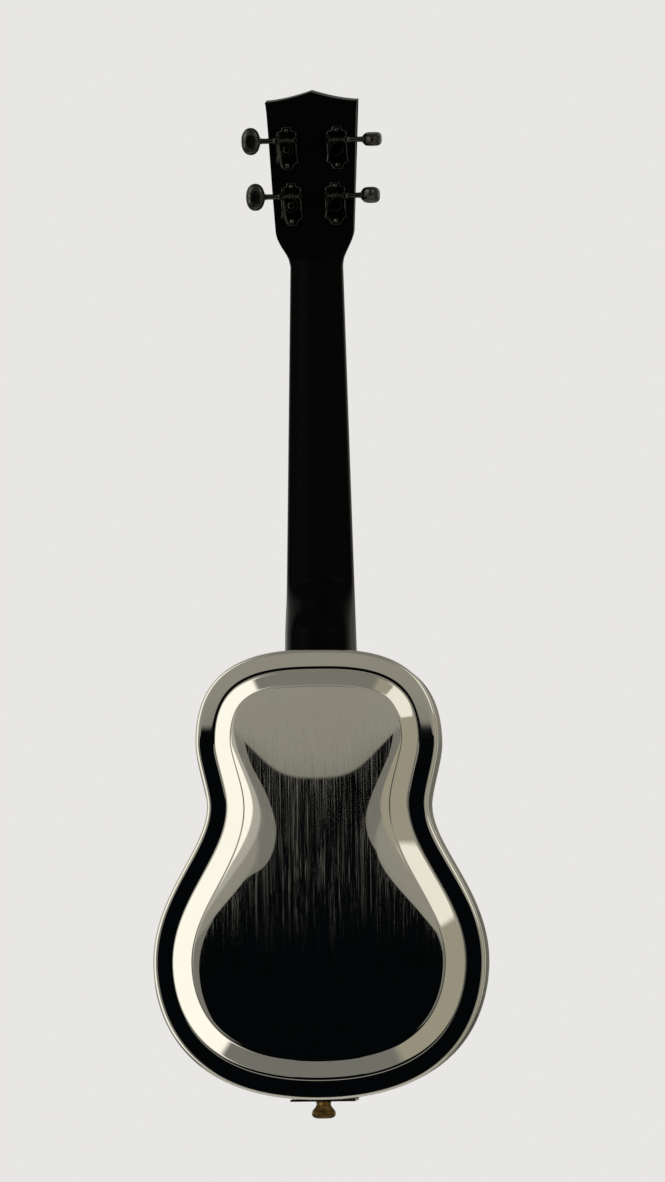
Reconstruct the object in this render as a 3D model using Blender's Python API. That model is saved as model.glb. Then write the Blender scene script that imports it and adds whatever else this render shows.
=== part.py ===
"""Four-string resonator guitar with a stamped metal body, a spun cone and geared tuners.

Metres. +Z runs up the neck from the outer face of the end button, -Y is the playing side, +Y the back,
and y = 0 is the middle of the body's depth. Runs in Blender 4.5.
"""

import math

import bmesh
import bpy
from mathutils import Vector

MM = 0.001

# ---- Driving dimensions -------------------------------------------------------------------------

# Metal body
BODY_LENGTH = 303.0 * MM
UPPER_BOUT = 164.4 * MM
WAIST = 149.6 * MM
LOWER_BOUT = 224.6 * MM
UPPER_BOUT_AT, WAIST_AT, LOWER_BOUT_AT = 0.794, 0.654, 0.306  # shares of the length, from the tail
BAND_DEPTH = 58.0 * MM
SHEET = 1.0 * MM  # wall of the plates and the side band
LIP_DEPTH = 3.0 * MM  # how far a plate's rolled edge laps over the band
EDGE_ROUND = 2.2 * MM
MARGIN_WIDTH = 14.3 * MM  # flat border of the back, outside the stamped slope
SLOPE_WIDTH = 11.6 * MM
PANEL_RISE = 4.5 * MM
SOUND_HOLE_LENGTH = 58.0 * MM
SOUND_HOLE_WIDTH = 6.8 * MM
SOUND_HOLE_SWAY = 5.0 * MM
SOUND_HOLE_FROM_AXIS = 53.0 * MM
SOUND_HOLE_FROM_NECK = 72.0 * MM
GAP = 0.3 * MM  # between pieces that rest on each other

# Neck
SCALE_LENGTH = 482.6 * MM
FRETS = 18
NUT_WIDTH = 35.8 * MM
HEEL_WIDTH = 48.0 * MM
NECK_SIDE = 3.0 * MM  # upright part of the neck's side, under the fretboard
NECK_DEPTH_AT_NUT = 13.0 * MM
NECK_DEPTH_AT_HEEL = 16.5 * MM
HEEL_DEPTH = 44.0 * MM
HEEL_RUN = 52.0 * MM  # length over which the heel sweeps into the neck
FRETBOARD_THICKNESS = 5.4 * MM
FRETBOARD_PAST_LAST_FRET = 7.0 * MM
FRET_CROWN = 1.0 * MM
FRET_WIDTH = 2.2 * MM
FRET_TANG_DEPTH = 2.0 * MM
FRET_TANG_WIDTH = 0.6 * MM
FRET_END_GAP = 0.4 * MM
FITTED_GAP = 0.1 * MM  # round pieces that sit in slots
NUT_THICKNESS = 4.0 * MM
NUT_ABOVE_STRINGS = 0.5 * MM

# Headstock, measured along its own tilted face from its root just above the nut
HEAD_TILT = math.radians(13.0)
HEAD_THICKNESS = 14.0 * MM
HEAD_LENGTH = 115.8 * MM
HEAD_PEAK = 6.6 * MM  # height of the crest above the top corners
HEAD_FLARE_BELOW_ROOT = 6.0 * MM
HEAD_SHOULDER = 21.0 * MM
HEAD_SHOULDER_WIDTH = 53.6 * MM
HEAD_TOP_WIDTH = 63.4 * MM
HEAD_EDGE = 1.0 * MM
OVERLAY_THICKNESS = 1.6 * MM
OVERLAY_ABOVE_ROOT = 1.5 * MM

# Cone, well and cover
CONE_RADIUS = 68.0 * MM
CONE_RIM = 6.5 * MM
CONE_SHEET = 0.5 * MM
CONE_CROWN_RADIUS = 15.0 * MM
CONE_CROWN_STEP = 1.1 * MM
CONE_TOP = 0.6 * MM  # above the front plate's face
WELL_CLEARANCE = 0.5 * MM
WELL_WALL = 1.2 * MM
WELL_DEPTH = 13.5 * MM
WELL_LEDGE = 8.0 * MM
COVER_OVERLAP = 7.5 * MM
COVER_FLANGE = 10.0 * MM
COVER_STEP = 6.0 * MM  # width of the steep ring between the flange and the dome
COVER_CROWN_RING = 12.0 * MM  # level ring that carries the hand rest
COVER_HEIGHT = 6.5 * MM
COVER_FALL = 1.6 * MM  # of the dome, from its crown ring to the steep ring
COVER_TO_TAIL = 11.9 * MM  # between the cover's rim and the body's tail edge
VENT_GROUPS = 8
VENT_WIDTH = 3.6 * MM
VENT_ANGLE = math.radians(11.0)
VENT_MARGIN = 2.0 * MM
BISCUIT_RADIUS = 24.0 * MM
BISCUIT_THICKNESS = 6.5 * MM
BISCUIT_EDGE = 1.0 * MM
COVER_HOLE_CLEARANCE = 3.0 * MM
SADDLE_LENGTH = 45.0 * MM
SADDLE_THICKNESS = 3.0 * MM
SADDLE_SEAT = 3.0 * MM  # depth of the saddle's slot in the biscuit

# Strings, the first one the thinnest
STRING_RADII = [0.30 * MM, 0.41 * MM, 0.46 * MM, 0.36 * MM]
SPREAD_AT_NUT = 28.0 * MM
SPREAD_AT_SADDLE = 40.5 * MM
SPREAD_AT_TAIL = 34.0 * MM
STRING_OVER_FRETS = 1.0 * MM
STRING_RISE_TO_SADDLE = 4.0 * MM
STRING_BALL_RADIUS = 1.5 * MM

# Hand rest and tailpiece
REST_WIDTH = 26.0 * MM
REST_SHEET = 1.2 * MM
REST_FOOT = 6.0 * MM
REST_SPAN = 70.0 * MM
REST_OVER_STRINGS = 4.0 * MM
TAIL_WIDTH = 44.0 * MM
TAIL_SHEET = 1.4 * MM
TAIL_LEG_PAST_AXIS = 9.0 * MM
TAIL_OVER_FRONT = 2.2 * MM
TAIL_REACH = 20.0 * MM
TAIL_LIP = 4.5 * MM
TAIL_BEND = 3.0 * MM

# Neck stick, its two dowels and the end button
STICK_SIDE = 18.0 * MM
STICK_BEHIND_WELL = 4.0 * MM
STICK_IN_HEEL = 12.0 * MM
STICK_TO_BAND = 1.2 * MM  # at the tail, where the band curves up on both sides
DOWEL_RADIUS = 9.0 * MM
UPPER_DOWEL_FROM_NECK = 62.0 * MM
BUTTON_LENGTH = 11.3 * MM
BUTTON_RADIUS = 8.3 * MM
BUTTON_STEM_RADIUS = 3.0 * MM
BUTTON_STEM_LENGTH = 22.0 * MM
STEM_CLEARANCE = 0.2 * MM

# Tuners
POST_HEIGHTS = {"lower": 38.8 * MM, "upper": 77.0 * MM}  # up the head from its root
POST_INSET = 12.7 * MM  # from the head's edge
GEAR_TEETH = 14
GEAR_MODULE = 0.62 * MM
GEAR_WIDTH = 2.6 * MM
TOOTH_HALF_HEIGHT = 0.50 * MM  # above the pitch line
TOOTH_HALF_DEPTH = 0.68 * MM  # below the pitch line
WORM_PITCH_RADIUS = 1.75 * MM
WORM_TURNS = 3
WORM_COLLAR_RADIUS = 2.1 * MM
WORM_COLLAR = 0.8 * MM
PLATE_SHEET = 1.2 * MM
PLATE_ABOVE_SHAFT = 9.1 * MM
PLATE_BELOW_POST = 14.2 * MM
PLATE_TAB_WIDTH = 6.4 * MM
GEAR_ABOVE_PLATE = 1.5 * MM
GEAR_CAP_RADIUS = 2.4 * MM
GEAR_CAP = 0.8 * MM
LUG_HALF_SPAN = 6.0 * MM  # from the post's axis to each lug's inner face
LUG_SHEET = 1.0 * MM
LUG_WIDTH = 6.0 * MM
LUG_ABOVE_SHAFT = 2.9 * MM
SHAFT_RADIUS = 1.85 * MM
JOURNAL_RADIUS = 1.3 * MM
RUNNING_CLEARANCE = 0.10 * MM
SHAFT_REACH = 18.0 * MM  # from the post's axis to the knob
KNOB_WIDTH = 12.8 * MM
KNOB_HEIGHT = 18.6 * MM
KNOB_THICKNESS = 9.5 * MM
KNOB_SOCKET = 5.0 * MM
KNOB_HUB_RADIUS = 3.1 * MM
POST_RADIUS = 3.0 * MM
POST_OUT_OF_HEAD = 12.0 * MM
POST_HOLE_DOWN = 4.5 * MM  # from the post's top to its string hole
POST_HOLE_RADIUS = 0.8 * MM
BUSHING_WALL = 1.2 * MM
BUSHING_FLANGE = 1.2 * MM
BUSHING_BRIM = 1.6 * MM
BUSHING_DEPTH = 6.0 * MM
# string number: side of the head, row of the head, how far the knob is turned at rest
TUNERS = {
    1: (1, "lower", 0.0),
    2: (1, "upper", 0.0),
    3: (-1, "upper", math.radians(90.0)),
    4: (-1, "lower", math.radians(68.0)),
}

# ---- Sizes that follow from them ----------------------------------------------------------------

TURN = 2 * math.pi
TAIL_EDGE = BUTTON_LENGTH + GAP + TAIL_SHEET + GAP  # z of the body's lowest edge
NECK_JOINT = TAIL_EDGE + BODY_LENGTH
PLATE_FACE = BAND_DEPTH / 2 + GAP + SHEET  # |y| of both plates' outer faces
BAND_INSET = SHEET + GAP
WELL_FLOOR = SHEET + GAP + WELL_DEPTH  # depth of the well's underside below the front plate's face
STICK_FRONT = -PLATE_FACE + WELL_FLOOR + STICK_BEHIND_WELL
STICK_BACK = STICK_FRONT + STICK_SIDE
WELL_INNER = CONE_RADIUS + WELL_CLEARANCE
COVER_RADIUS = WELL_INNER + COVER_OVERLAP
COVER_STEP_FOOT = COVER_RADIUS - COVER_FLANGE
COVER_STEP_TOP = COVER_STEP_FOOT - COVER_STEP
COVER_HOLE = BISCUIT_RADIUS + COVER_HOLE_CLEARANCE
COVER_CROWN = COVER_HOLE + COVER_CROWN_RING
SADDLE_Z = TAIL_EDGE + COVER_TO_TAIL + COVER_RADIUS
NUT_Z = SADDLE_Z + SCALE_LENGTH
HEAD_ROOT_Z = NUT_Z + NUT_THICKNESS + GAP
BISCUIT_TOP = CONE_TOP + GAP + BISCUIT_THICKNESS
FRETBOARD_TOP = GAP + FRETBOARD_THICKNESS
STRING_AT_NUT = FRETBOARD_TOP + FRET_CROWN + STRING_OVER_FRETS
STRING_AT_SADDLE = STRING_AT_NUT + STRING_RISE_TO_SADDLE
OVERLAY_TOP = GAP + OVERLAY_THICKNESS
GEAR_RADIUS = GEAR_MODULE * GEAR_TEETH / 2
WORM_PITCH = math.pi * GEAR_MODULE
SHAFT_ABOVE_POST = GEAR_RADIUS + WORM_PITCH_RADIUS
GEAR_FOOT = GAP + PLATE_SHEET + GEAR_ABOVE_PLATE
SHAFT_LEVEL = GEAR_FOOT + GEAR_WIDTH / 2
TAIL_LEVEL = TAIL_OVER_FRONT + TAIL_SHEET / 2  # middle of the tailpiece's sheet
BALL_LEVEL = TAIL_OVER_FRONT + TAIL_SHEET + GAP + STRING_BALL_RADIUS
BALL_Z = TAIL_EDGE + TAIL_REACH - TAIL_SHEET / 2 - GAP - STRING_BALL_RADIUS

MATERIALS = {
    # name: (base colour, metallic, roughness)
    "nickel_plate": ((0.66, 0.65, 0.60), 1.0, 0.09),
    "spun_aluminium": ((0.80, 0.80, 0.81), 1.0, 0.28),
    "black_lacquer": ((0.006, 0.006, 0.006), 0.0, 0.16),
    "dark_fretboard": ((0.030, 0.020, 0.014), 0.0, 0.45),
    "nickel_silver": ((0.72, 0.71, 0.66), 1.0, 0.20),
    "bone": ((0.78, 0.74, 0.62), 0.0, 0.35),
    "maple": ((0.62, 0.43, 0.24), 0.0, 0.45),
    "black_nickel": ((0.10, 0.10, 0.09), 1.0, 0.20),
    "aged_brass": ((0.34, 0.22, 0.06), 1.0, 0.28),
    "nylon": ((0.85, 0.84, 0.78), 0.0, 0.25),
}


# ---- Building blocks ----------------------------------------------------------------------------


def clear_scene():
    for old in list(bpy.data.objects):
        bpy.data.objects.remove(old)


def finish_of(name):
    material = bpy.data.materials.get(name)
    if material is None:
        colour, metallic, roughness = MATERIALS[name]
        material = bpy.data.materials.new(name)
        material.use_nodes = True
        shader = material.node_tree.nodes["Principled BSDF"]
        shader.inputs["Base Color"].default_value = (*colour, 1.0)
        shader.inputs["Metallic"].default_value = metallic
        shader.inputs["Roughness"].default_value = roughness
    return material


def solid(name, points, faces, finish=None):
    """An object from points and faces, its normals turned outwards and its curved faces smooth."""
    mesh = bpy.data.meshes.new(name)
    mesh.from_pydata([tuple(point) for point in points], [], faces)
    work = bmesh.new()
    work.from_mesh(mesh)
    bmesh.ops.recalc_face_normals(work, faces=work.faces)
    work.to_mesh(mesh)
    work.free()
    mesh.shade_smooth()
    mesh.set_sharp_from_angle(angle=math.radians(32))
    made = bpy.data.objects.new(name, mesh)
    bpy.context.scene.collection.objects.link(made)
    if finish:
        mesh.materials.append(finish_of(finish))
    return made


def loft(name, rings, finish=None, endless=False, strip_caps=False, diagonal=False):
    """Skins rings of equally many points.

    The two ends are capped, or joined to each other if it is endless. Strip caps suit a ring whose
    first half faces its second half, and diagonal splits each face from one ring's corner to the next.
    """
    count = len(rings[0])
    points = [point for ring in rings for point in ring]
    spans = len(rings) if endless else len(rings) - 1
    faces = []
    for row in range(spans):
        low, high = row * count, (row + 1) % len(rings) * count
        for i in range(count):
            j = (i + 1) % count
            if diagonal:
                faces += [(low + i, low + j, high + j), (low + i, high + j, high + i)]
            else:
                faces.append((low + i, low + j, high + j, high + i))
    for base in () if endless else (0, (len(rings) - 1) * count):
        if strip_caps:
            pairs = [(base + i, base + count - 1 - i) for i in range(count // 2)]
            faces += [(a, b, d, c) for (a, c), (b, d) in zip(pairs, pairs[1:])]
        else:
            faces.append(tuple(base + i for i in range(count)))
    return solid(name, points, faces, finish)


def prism(name, outline, place, low, high, finish=None):
    """Extrudes a flat outline of (a, b) points between two levels; place(a, b, level) gives a point."""
    return loft(name, [[place(a, b, level) for a, b in outline] for level in (low, high)], finish)


def circle(radius, sides):
    angles = (TURN * i / sides for i in range(sides))
    return [(radius * math.cos(angle), radius * math.sin(angle)) for angle in angles]


def turned(name, profile, place, sides, finish=None, ring=False):
    """Turns a profile of (radius, level) points. A ring's profile closes on itself, clear of the axis."""
    rings = [[place(a, b, level) for a, b in circle(radius, sides)] for radius, level in profile]
    return loft(name, rings, finish, endless=ring)


def upright(a, b, level):
    return a, b, level


def box(name, low, high, finish=None):
    (x0, y0, z0), (x1, y1, z1) = low, high
    return prism(name, [(x0, y0), (x1, y0), (x1, y1), (x0, y1)], upright, z0, z1, finish)


def boolean(piece, tool, operation):
    tool.hide_render = True
    tool.display_type = "WIRE"
    step = piece.modifiers.new(tool.name, "BOOLEAN")
    step.operation = operation
    step.object = tool


def around(true_radius, sides):
    """Corner radius of a polygon whose flats lie at true_radius."""
    return true_radius / math.cos(math.pi / sides)


def ribbon(path, thickness):
    """Outline of a bent sheet whose middle follows path, with mitred bends."""
    one_side, other_side = [], []
    for i, point in enumerate(path):
        here = Vector(point)
        before = (here - Vector(path[i - 1])).normalized() if i else None
        after = (Vector(path[i + 1]) - here).normalized() if i + 1 < len(path) else before
        before = before or after
        along = (before + after).normalized()
        reach = thickness / 2 / along.dot(before)
        side = Vector((-along.y, along.x)) * reach
        one_side.append(tuple(here + side))
        other_side.append(tuple(here - side))
    return one_side + other_side[::-1]


def smooth_step(t):
    t = min(max(t, 0.0), 1.0)
    return t * t * (3 - 2 * t)


def mix(a, b, share):
    return a + (b - a) * share


def front(height):
    """y of a point that far out of the front plate's face."""
    return -PLATE_FACE - height


def on_front(a, b, level):
    """Places shapes drawn round the cone's axis: a to +X, b to +Z, level out of the front."""
    return a, front(level), SADDLE_Z + b


# ---- Body ---------------------------------------------------------------------------------------

OUTLINE_SAMPLES = 8  # points on each of the half outline's four curves


def curve(start, start_handle, end_handle, end):
    """Points along a cubic curve, without its last one."""
    points = []
    for i in range(OUTLINE_SAMPLES):
        t = i / OUTLINE_SAMPLES
        weights = ((1 - t) ** 3, 3 * (1 - t) ** 2 * t, 3 * (1 - t) * t * t, t**3)
        held = (start, start_handle, end_handle, end)
        points.append(tuple(sum(weight * at[axis] for weight, at in zip(weights, held)) for axis in (0, 1)))
    return points


def half_outline():
    """Right half of the body's outline, from the neck joint down to the tail, as (x, height) points."""
    upper_z, waist_z, lower_z = (share * BODY_LENGTH for share in (UPPER_BOUT_AT, WAIST_AT, LOWER_BOUT_AT))
    upper, waist, lower = (UPPER_BOUT / 2, upper_z), (WAIST / 2, waist_z), (LOWER_BOUT / 2, lower_z)
    top, tail = (0.0, BODY_LENGTH), (0.0, 0.0)
    crown, chest, hip = BODY_LENGTH - upper_z, upper_z - waist_z, waist_z - lower_z
    shoulder_curve = curve(top, (0.36 * upper[0], BODY_LENGTH), (upper[0], upper_z + 0.99 * crown), upper)
    chest_curve = curve(upper, (upper[0], upper_z - 0.30 * chest), (waist[0], waist_z + 0.24 * chest), waist)
    hip_curve = curve(waist, (waist[0], waist_z - 0.27 * hip), (lower[0], lower_z + 0.44 * hip), lower)
    tail_curve = curve(lower, (lower[0], 0.67 * lower_z), (0.87 * lower[0], 0.0), tail)
    return shoulder_curve + chest_curve + hip_curve + tail_curve + [tail]


def body_outline(inset=0.0):
    """The whole outline, moved inwards by inset, as (x, z) points."""
    half = half_outline()
    whole = half + [(-x, z) for x, z in reversed(half[1:-1])]
    moved = []
    for i, (x, z) in enumerate(whole):
        before, after = whole[i - 1], whole[(i + 1) % len(whole)]
        along = Vector((after[0] - before[0], after[1] - before[1])).normalized()
        moved.append((x + along.y * inset, z - along.x * inset + TAIL_EDGE))
    return moved


def pressed_sheet(name, steps, side):
    """A sheet pressed to (inset, level) steps; side is 1 for the back and -1 for the front."""
    rings = [[(x, side * level, z) for x, z in body_outline(inset)] for inset, level in steps]
    return loft(name, rings, "nickel_plate")


def rolled_edge():
    """A plate's rim as (inset, level) steps, from its outer face round the lip to its inner face."""
    lip_end = PLATE_FACE - SHEET - LIP_DEPTH
    shoulder = 0.3 * EDGE_ROUND
    return [
        (EDGE_ROUND, PLATE_FACE),
        (shoulder, PLATE_FACE - shoulder),
        (0.0, PLATE_FACE - EDGE_ROUND),
        (0.0, lip_end),
        (SHEET, lip_end),
        (SHEET, PLATE_FACE - SHEET),
    ]


def back_plate():
    foot, head = MARGIN_WIDTH, MARGIN_WIDTH + SLOPE_WIDTH
    outer = [(head, PLATE_FACE + PANEL_RISE), (foot, PLATE_FACE)]
    inner = [(inset, level - SHEET) for inset, level in reversed(outer)]
    pressed_sheet("back_plate", outer + rolled_edge() + inner, 1)


def sound_hole_tool(side):
    """Cutter for one S-shaped sound hole beside the fretboard."""
    samples = 10
    right, left = [], []
    for i in range(samples + 1):
        t = 2 * i / samples - 1
        half_width = SOUND_HOLE_WIDTH / 2 * (0.3 + 0.7 * math.sqrt(1 - t**8)) * (1 + 0.4 * t**4)
        x = side * (SOUND_HOLE_FROM_AXIS + SOUND_HOLE_SWAY * math.sin(math.pi * t))
        z = NECK_JOINT - SOUND_HOLE_FROM_NECK + t * SOUND_HOLE_LENGTH / 2
        right.append((x + half_width, z))
        left.append((x - half_width, z))

    def place(a, b, level):
        return a, front(level), b

    return prism(f"sound_hole_tool_{side}", right + left[::-1], place, -3 * SHEET, 2 * SHEET)


def front_plate():
    plate = pressed_sheet("front_plate", rolled_edge(), -1)
    opening = [(WELL_INNER, -3 * SHEET), (WELL_INNER, 2 * SHEET)]
    boolean(plate, turned("well_opening_tool", opening, on_front, 40), "DIFFERENCE")
    for side in (1, -1):
        boolean(plate, sound_hole_tool(side), "DIFFERENCE")


def side_band():
    outer, inner = body_outline(BAND_INSET), body_outline(BAND_INSET + SHEET)
    half = BAND_DEPTH / 2
    corners = ((outer, -half), (outer, half), (inner, half), (inner, -half))
    band = loft("side_band", [[(x, y, z) for x, z in ring] for ring, y in corners], "nickel_plate", endless=True)
    low, high = NECK_JOINT - BAND_INSET - 3 * SHEET, NECK_JOINT + SHEET
    boolean(band, stick_tool("neck_slot_tool", low, high), "DIFFERENCE")
    boolean(band, stem_tool("band_stem_tool", TAIL_EDGE, TAIL_EDGE + BAND_INSET + 3 * SHEET), "DIFFERENCE")


def stick_tool(name, low, high):
    """Cutter for the neck stick's way through a piece."""
    half = STICK_SIDE / 2 + GAP
    return box(name, (-half, STICK_FRONT - GAP, low), (half, STICK_BACK + GAP, high))


def stem_tool(name, low, high):
    """Cutter for the end button's stem."""
    radius = around(BUTTON_STEM_RADIUS + STEM_CLEARANCE, 12)
    return turned(name, [(radius, low), (radius, high)], upright, 12)


# ---- Cone, well, bridge and cover ---------------------------------------------------------------


def cone_well():
    outer, ledge = WELL_INNER + WELL_WALL, WELL_INNER - WELL_LEDGE
    top, bottom = -SHEET - GAP, -WELL_FLOOR
    profile = [(outer, top), (outer, bottom), (ledge, bottom), (ledge, bottom + WELL_WALL)]
    profile += [(WELL_INNER, bottom + WELL_WALL), (WELL_INNER, top)]
    turned("cone_well", profile, on_front, 40, "nickel_plate", ring=True)


def resonator_cone():
    seat = -WELL_FLOOR + WELL_WALL + GAP
    foot, shoulder = CONE_RADIUS - CONE_RIM, CONE_CROWN_RADIUS + 2 * CONE_CROWN_STEP
    under = [(CONE_RADIUS, seat), (foot, seat), (shoulder, CONE_TOP - CONE_CROWN_STEP - CONE_SHEET)]
    under.append((CONE_CROWN_RADIUS, CONE_TOP - CONE_SHEET))
    over = [(radius, level + CONE_SHEET) for radius, level in reversed(under)]
    turned("resonator_cone", over + under, on_front, 32, "spun_aluminium")


def biscuit():
    profile = [
        (BISCUIT_RADIUS, CONE_TOP + GAP),
        (BISCUIT_RADIUS, BISCUIT_TOP - BISCUIT_EDGE),
        (BISCUIT_RADIUS - BISCUIT_EDGE, BISCUIT_TOP),
    ]
    disc = turned("biscuit", profile, on_front, 28, "maple")
    half_x, half_z = SADDLE_LENGTH / 2 + FITTED_GAP, SADDLE_THICKNESS / 2 + FITTED_GAP
    low = (-half_x, front(BISCUIT_TOP + BISCUIT_EDGE), SADDLE_Z - half_z)
    high = (half_x, front(BISCUIT_TOP - SADDLE_SEAT), SADDLE_Z + half_z)
    boolean(disc, box("saddle_slot_tool", low, high), "DIFFERENCE")


def saddle():
    low = BISCUIT_TOP - SADDLE_SEAT + FITTED_GAP
    high = STRING_AT_SADDLE - max(STRING_RADII) - FITTED_GAP
    half, crest = SADDLE_THICKNESS / 2, SADDLE_THICKNESS / 4
    side_view = [(-half, low), (half, low), (half, high - crest), (crest, high), (-crest, high), (-half, high - crest)]

    def place(a, b, level):
        return level, front(b), SADDLE_Z + a

    prism("saddle", side_view, place, -SADDLE_LENGTH / 2, SADDLE_LENGTH / 2, "bone")


def vent_tool(name, angle, low, high):
    """Cutter for one radial slot with pointed ends, from radius low to radius high."""
    half = VENT_WIDTH / 2
    outline = [(low, 0), (low + half, -half), (high - half, -half), (high, 0), (high - half, half), (low + half, half)]
    cos, sin = math.cos(angle), math.sin(angle)
    swung = [(a * cos - b * sin, a * sin + b * cos) for a, b in outline]
    return prism(name, swung, on_front, GAP, COVER_HEIGHT + SHEET)


def coverplate():
    outer = [
        (COVER_RADIUS, GAP + SHEET),
        (COVER_STEP_FOOT, GAP + SHEET),
        (COVER_STEP_TOP, COVER_HEIGHT - COVER_FALL),
        (COVER_CROWN, COVER_HEIGHT),
        (COVER_HOLE, COVER_HEIGHT),
    ]
    inner = [(radius, level - SHEET) for radius, level in reversed(outer)]
    cover = turned("coverplate", outer + inner, on_front, 40, "nickel_plate", ring=True)
    low, high = COVER_CROWN + VENT_MARGIN, COVER_STEP_TOP - VENT_MARGIN
    for group in range(VENT_GROUPS):
        middle = TURN * (group + 0.5) / VENT_GROUPS
        for step in (-1, 0, 1):
            shorter = abs(step) * VENT_MARGIN
            name = f"vent_tool_{group}_{step}"
            tool = vent_tool(name, middle + step * VENT_ANGLE, low + 2 * shorter, high - shorter)
            boolean(cover, tool, "DIFFERENCE")


def handrest():
    foot = COVER_HEIGHT + GAP + REST_SHEET / 2
    crown = STRING_AT_SADDLE + REST_OVER_STRINGS + REST_SHEET / 2
    toe, heel = REST_SPAN / 2, REST_SPAN / 2 - REST_FOOT
    rise = crown - foot
    half = [
        (toe, foot),
        (heel, foot),
        (heel - 0.15 * rise, foot + 0.12 * rise),
        (heel - 0.60 * rise, crown - 0.20 * rise),
        (heel - 0.95 * rise, crown - 0.04 * rise),
        (heel - 1.30 * rise, crown),
    ]
    path = half + [(-x, level) for x, level in reversed(half)]

    def place(a, b, level):
        return a, front(b), SADDLE_Z + level

    prism("handrest", ribbon(path, REST_SHEET), place, -REST_WIDTH / 2, REST_WIDTH / 2, "nickel_plate")


# ---- Tailpiece, end button and neck stick -------------------------------------------------------


def string_line(number, spread):
    """x of a string where the outer two are spread that far apart; the first string is at +X."""
    return spread / 2 - (number - 1) * spread / (len(STRING_RADII) - 1)


def string_level(z):
    """Height of the strings over the front between their balls and the saddle."""
    return mix(BALL_LEVEL, STRING_AT_SADDLE, (z - BALL_Z) / (SADDLE_Z - BALL_Z))


def tailpiece():
    leg_z = TAIL_EDGE - GAP - TAIL_SHEET / 2
    lip_z = TAIL_EDGE + TAIL_REACH
    path = [
        (-PLATE_FACE - TAIL_LEG_PAST_AXIS, leg_z),
        (TAIL_LEVEL - TAIL_BEND, leg_z),
        (TAIL_LEVEL - 0.3 * TAIL_BEND, leg_z + 0.3 * TAIL_BEND),
        (TAIL_LEVEL, leg_z + TAIL_BEND),
        (TAIL_LEVEL, lip_z),
        (TAIL_LEVEL + TAIL_LIP, lip_z),
    ]

    def place(a, b, level):
        return level, front(a), b

    bracket = prism("tailpiece", ribbon(path, TAIL_SHEET), place, -TAIL_WIDTH / 2, TAIL_WIDTH / 2, "nickel_plate")
    boolean(bracket, stem_tool("tail_stem_tool", leg_z - TAIL_SHEET, leg_z + TAIL_SHEET), "DIFFERENCE")
    for number, radius in enumerate(STRING_RADII, 1):
        x, half = string_line(number, SPREAD_AT_TAIL), radius + FITTED_GAP
        floor, over = string_level(lip_z) - half, TAIL_LEVEL + TAIL_LIP + SHEET
        low = (x - half, front(over), lip_z - TAIL_SHEET)
        high = (x + half, front(floor), lip_z + TAIL_SHEET)
        boolean(bracket, box(f"tail_slot_tool_{number}", low, high), "DIFFERENCE")


def end_button():
    shape = [(0.55, 0.0), (0.83, 0.06), (0.97, 0.19), (1.0, 0.34), (0.92, 0.47), (0.71, 0.65), (0.59, 0.81), (0.63, 1.0)]
    profile = [(share * BUTTON_RADIUS, height * BUTTON_LENGTH) for share, height in shape]
    profile += [(BUTTON_STEM_RADIUS, BUTTON_LENGTH), (BUTTON_STEM_RADIUS, BUTTON_LENGTH + BUTTON_STEM_LENGTH)]
    turned("end_button", profile, upright, 20, "aged_brass")


def neck_stick():
    half = STICK_SIDE / 2
    low_z, high_z = TAIL_EDGE + BAND_INSET + SHEET + STICK_TO_BAND, NECK_JOINT + GAP + STICK_IN_HEEL
    stick = box("neck_stick", (-half, STICK_FRONT, low_z), (half, STICK_BACK, high_z), "maple")
    stem_end = BUTTON_LENGTH + BUTTON_STEM_LENGTH + GAP
    boolean(stick, stem_tool("stick_stem_tool", low_z - SHEET, stem_end), "DIFFERENCE")


def stick_dowels():
    low, high = STICK_BACK + GAP, PLATE_FACE + PANEL_RISE - SHEET - GAP
    for name, z in (("stick_post_upper", NECK_JOINT - UPPER_DOWEL_FROM_NECK), ("stick_post_lower", SADDLE_Z)):

        def place(a, b, level, z=z):
            return a, level, z + b

        turned(name, [(DOWEL_RADIUS, low), (DOWEL_RADIUS, high)], place, 16, "maple")


# ---- Neck, fretboard and headstock --------------------------------------------------------------

ACROSS_SAMPLES = 11  # points over the neck's width


def on_head(a, s, n):
    """Places a point a across the head, s up it from its root and n out of its front face."""
    sin, cos = math.sin(HEAD_TILT), math.cos(HEAD_TILT)
    return a, front(0) + s * sin - n * cos, HEAD_ROOT_Z + s * cos + n * sin


def neck_width(z):
    return mix(HEEL_WIDTH, NUT_WIDTH, (z - NECK_JOINT) / (NUT_Z - NECK_JOINT))


def head_half_width(s):
    """Half the width of the head, or of the neck just below it."""
    if s >= HEAD_SHOULDER:
        corner = HEAD_LENGTH - HEAD_PEAK
        return mix(HEAD_SHOULDER_WIDTH, HEAD_TOP_WIDTH, (s - HEAD_SHOULDER) / (corner - HEAD_SHOULDER)) / 2
    share = (s + HEAD_FLARE_BELOW_ROOT) / (HEAD_SHOULDER + HEAD_FLARE_BELOW_ROOT)
    return mix(NUT_WIDTH, HEAD_SHOULDER_WIDTH, smooth_step(share)) / 2


def crest(a):
    """s of the head's top edge at a distance a from its middle."""
    share = 1 - abs(a) / (HEAD_TOP_WIDTH / 2)
    return HEAD_LENGTH - HEAD_PEAK + HEAD_PEAK * max(share, 0.0) ** 1.6


def neck_section(half_width, depth, side, power):
    """(across, depth) points: the flat face from right to left, then the rounded back to the right."""
    across = [half_width * math.cos(math.pi * i / (ACROSS_SAMPLES - 1)) for i in range(ACROSS_SAMPLES)]
    back = []
    for a in reversed(across):
        bulge = (1 - min(abs(a) / half_width, 1.0) ** power) ** (1 / power)
        back.append((a, side + (depth - side) * bulge))
    return [(a, 0.0) for a in across] + back


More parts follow.
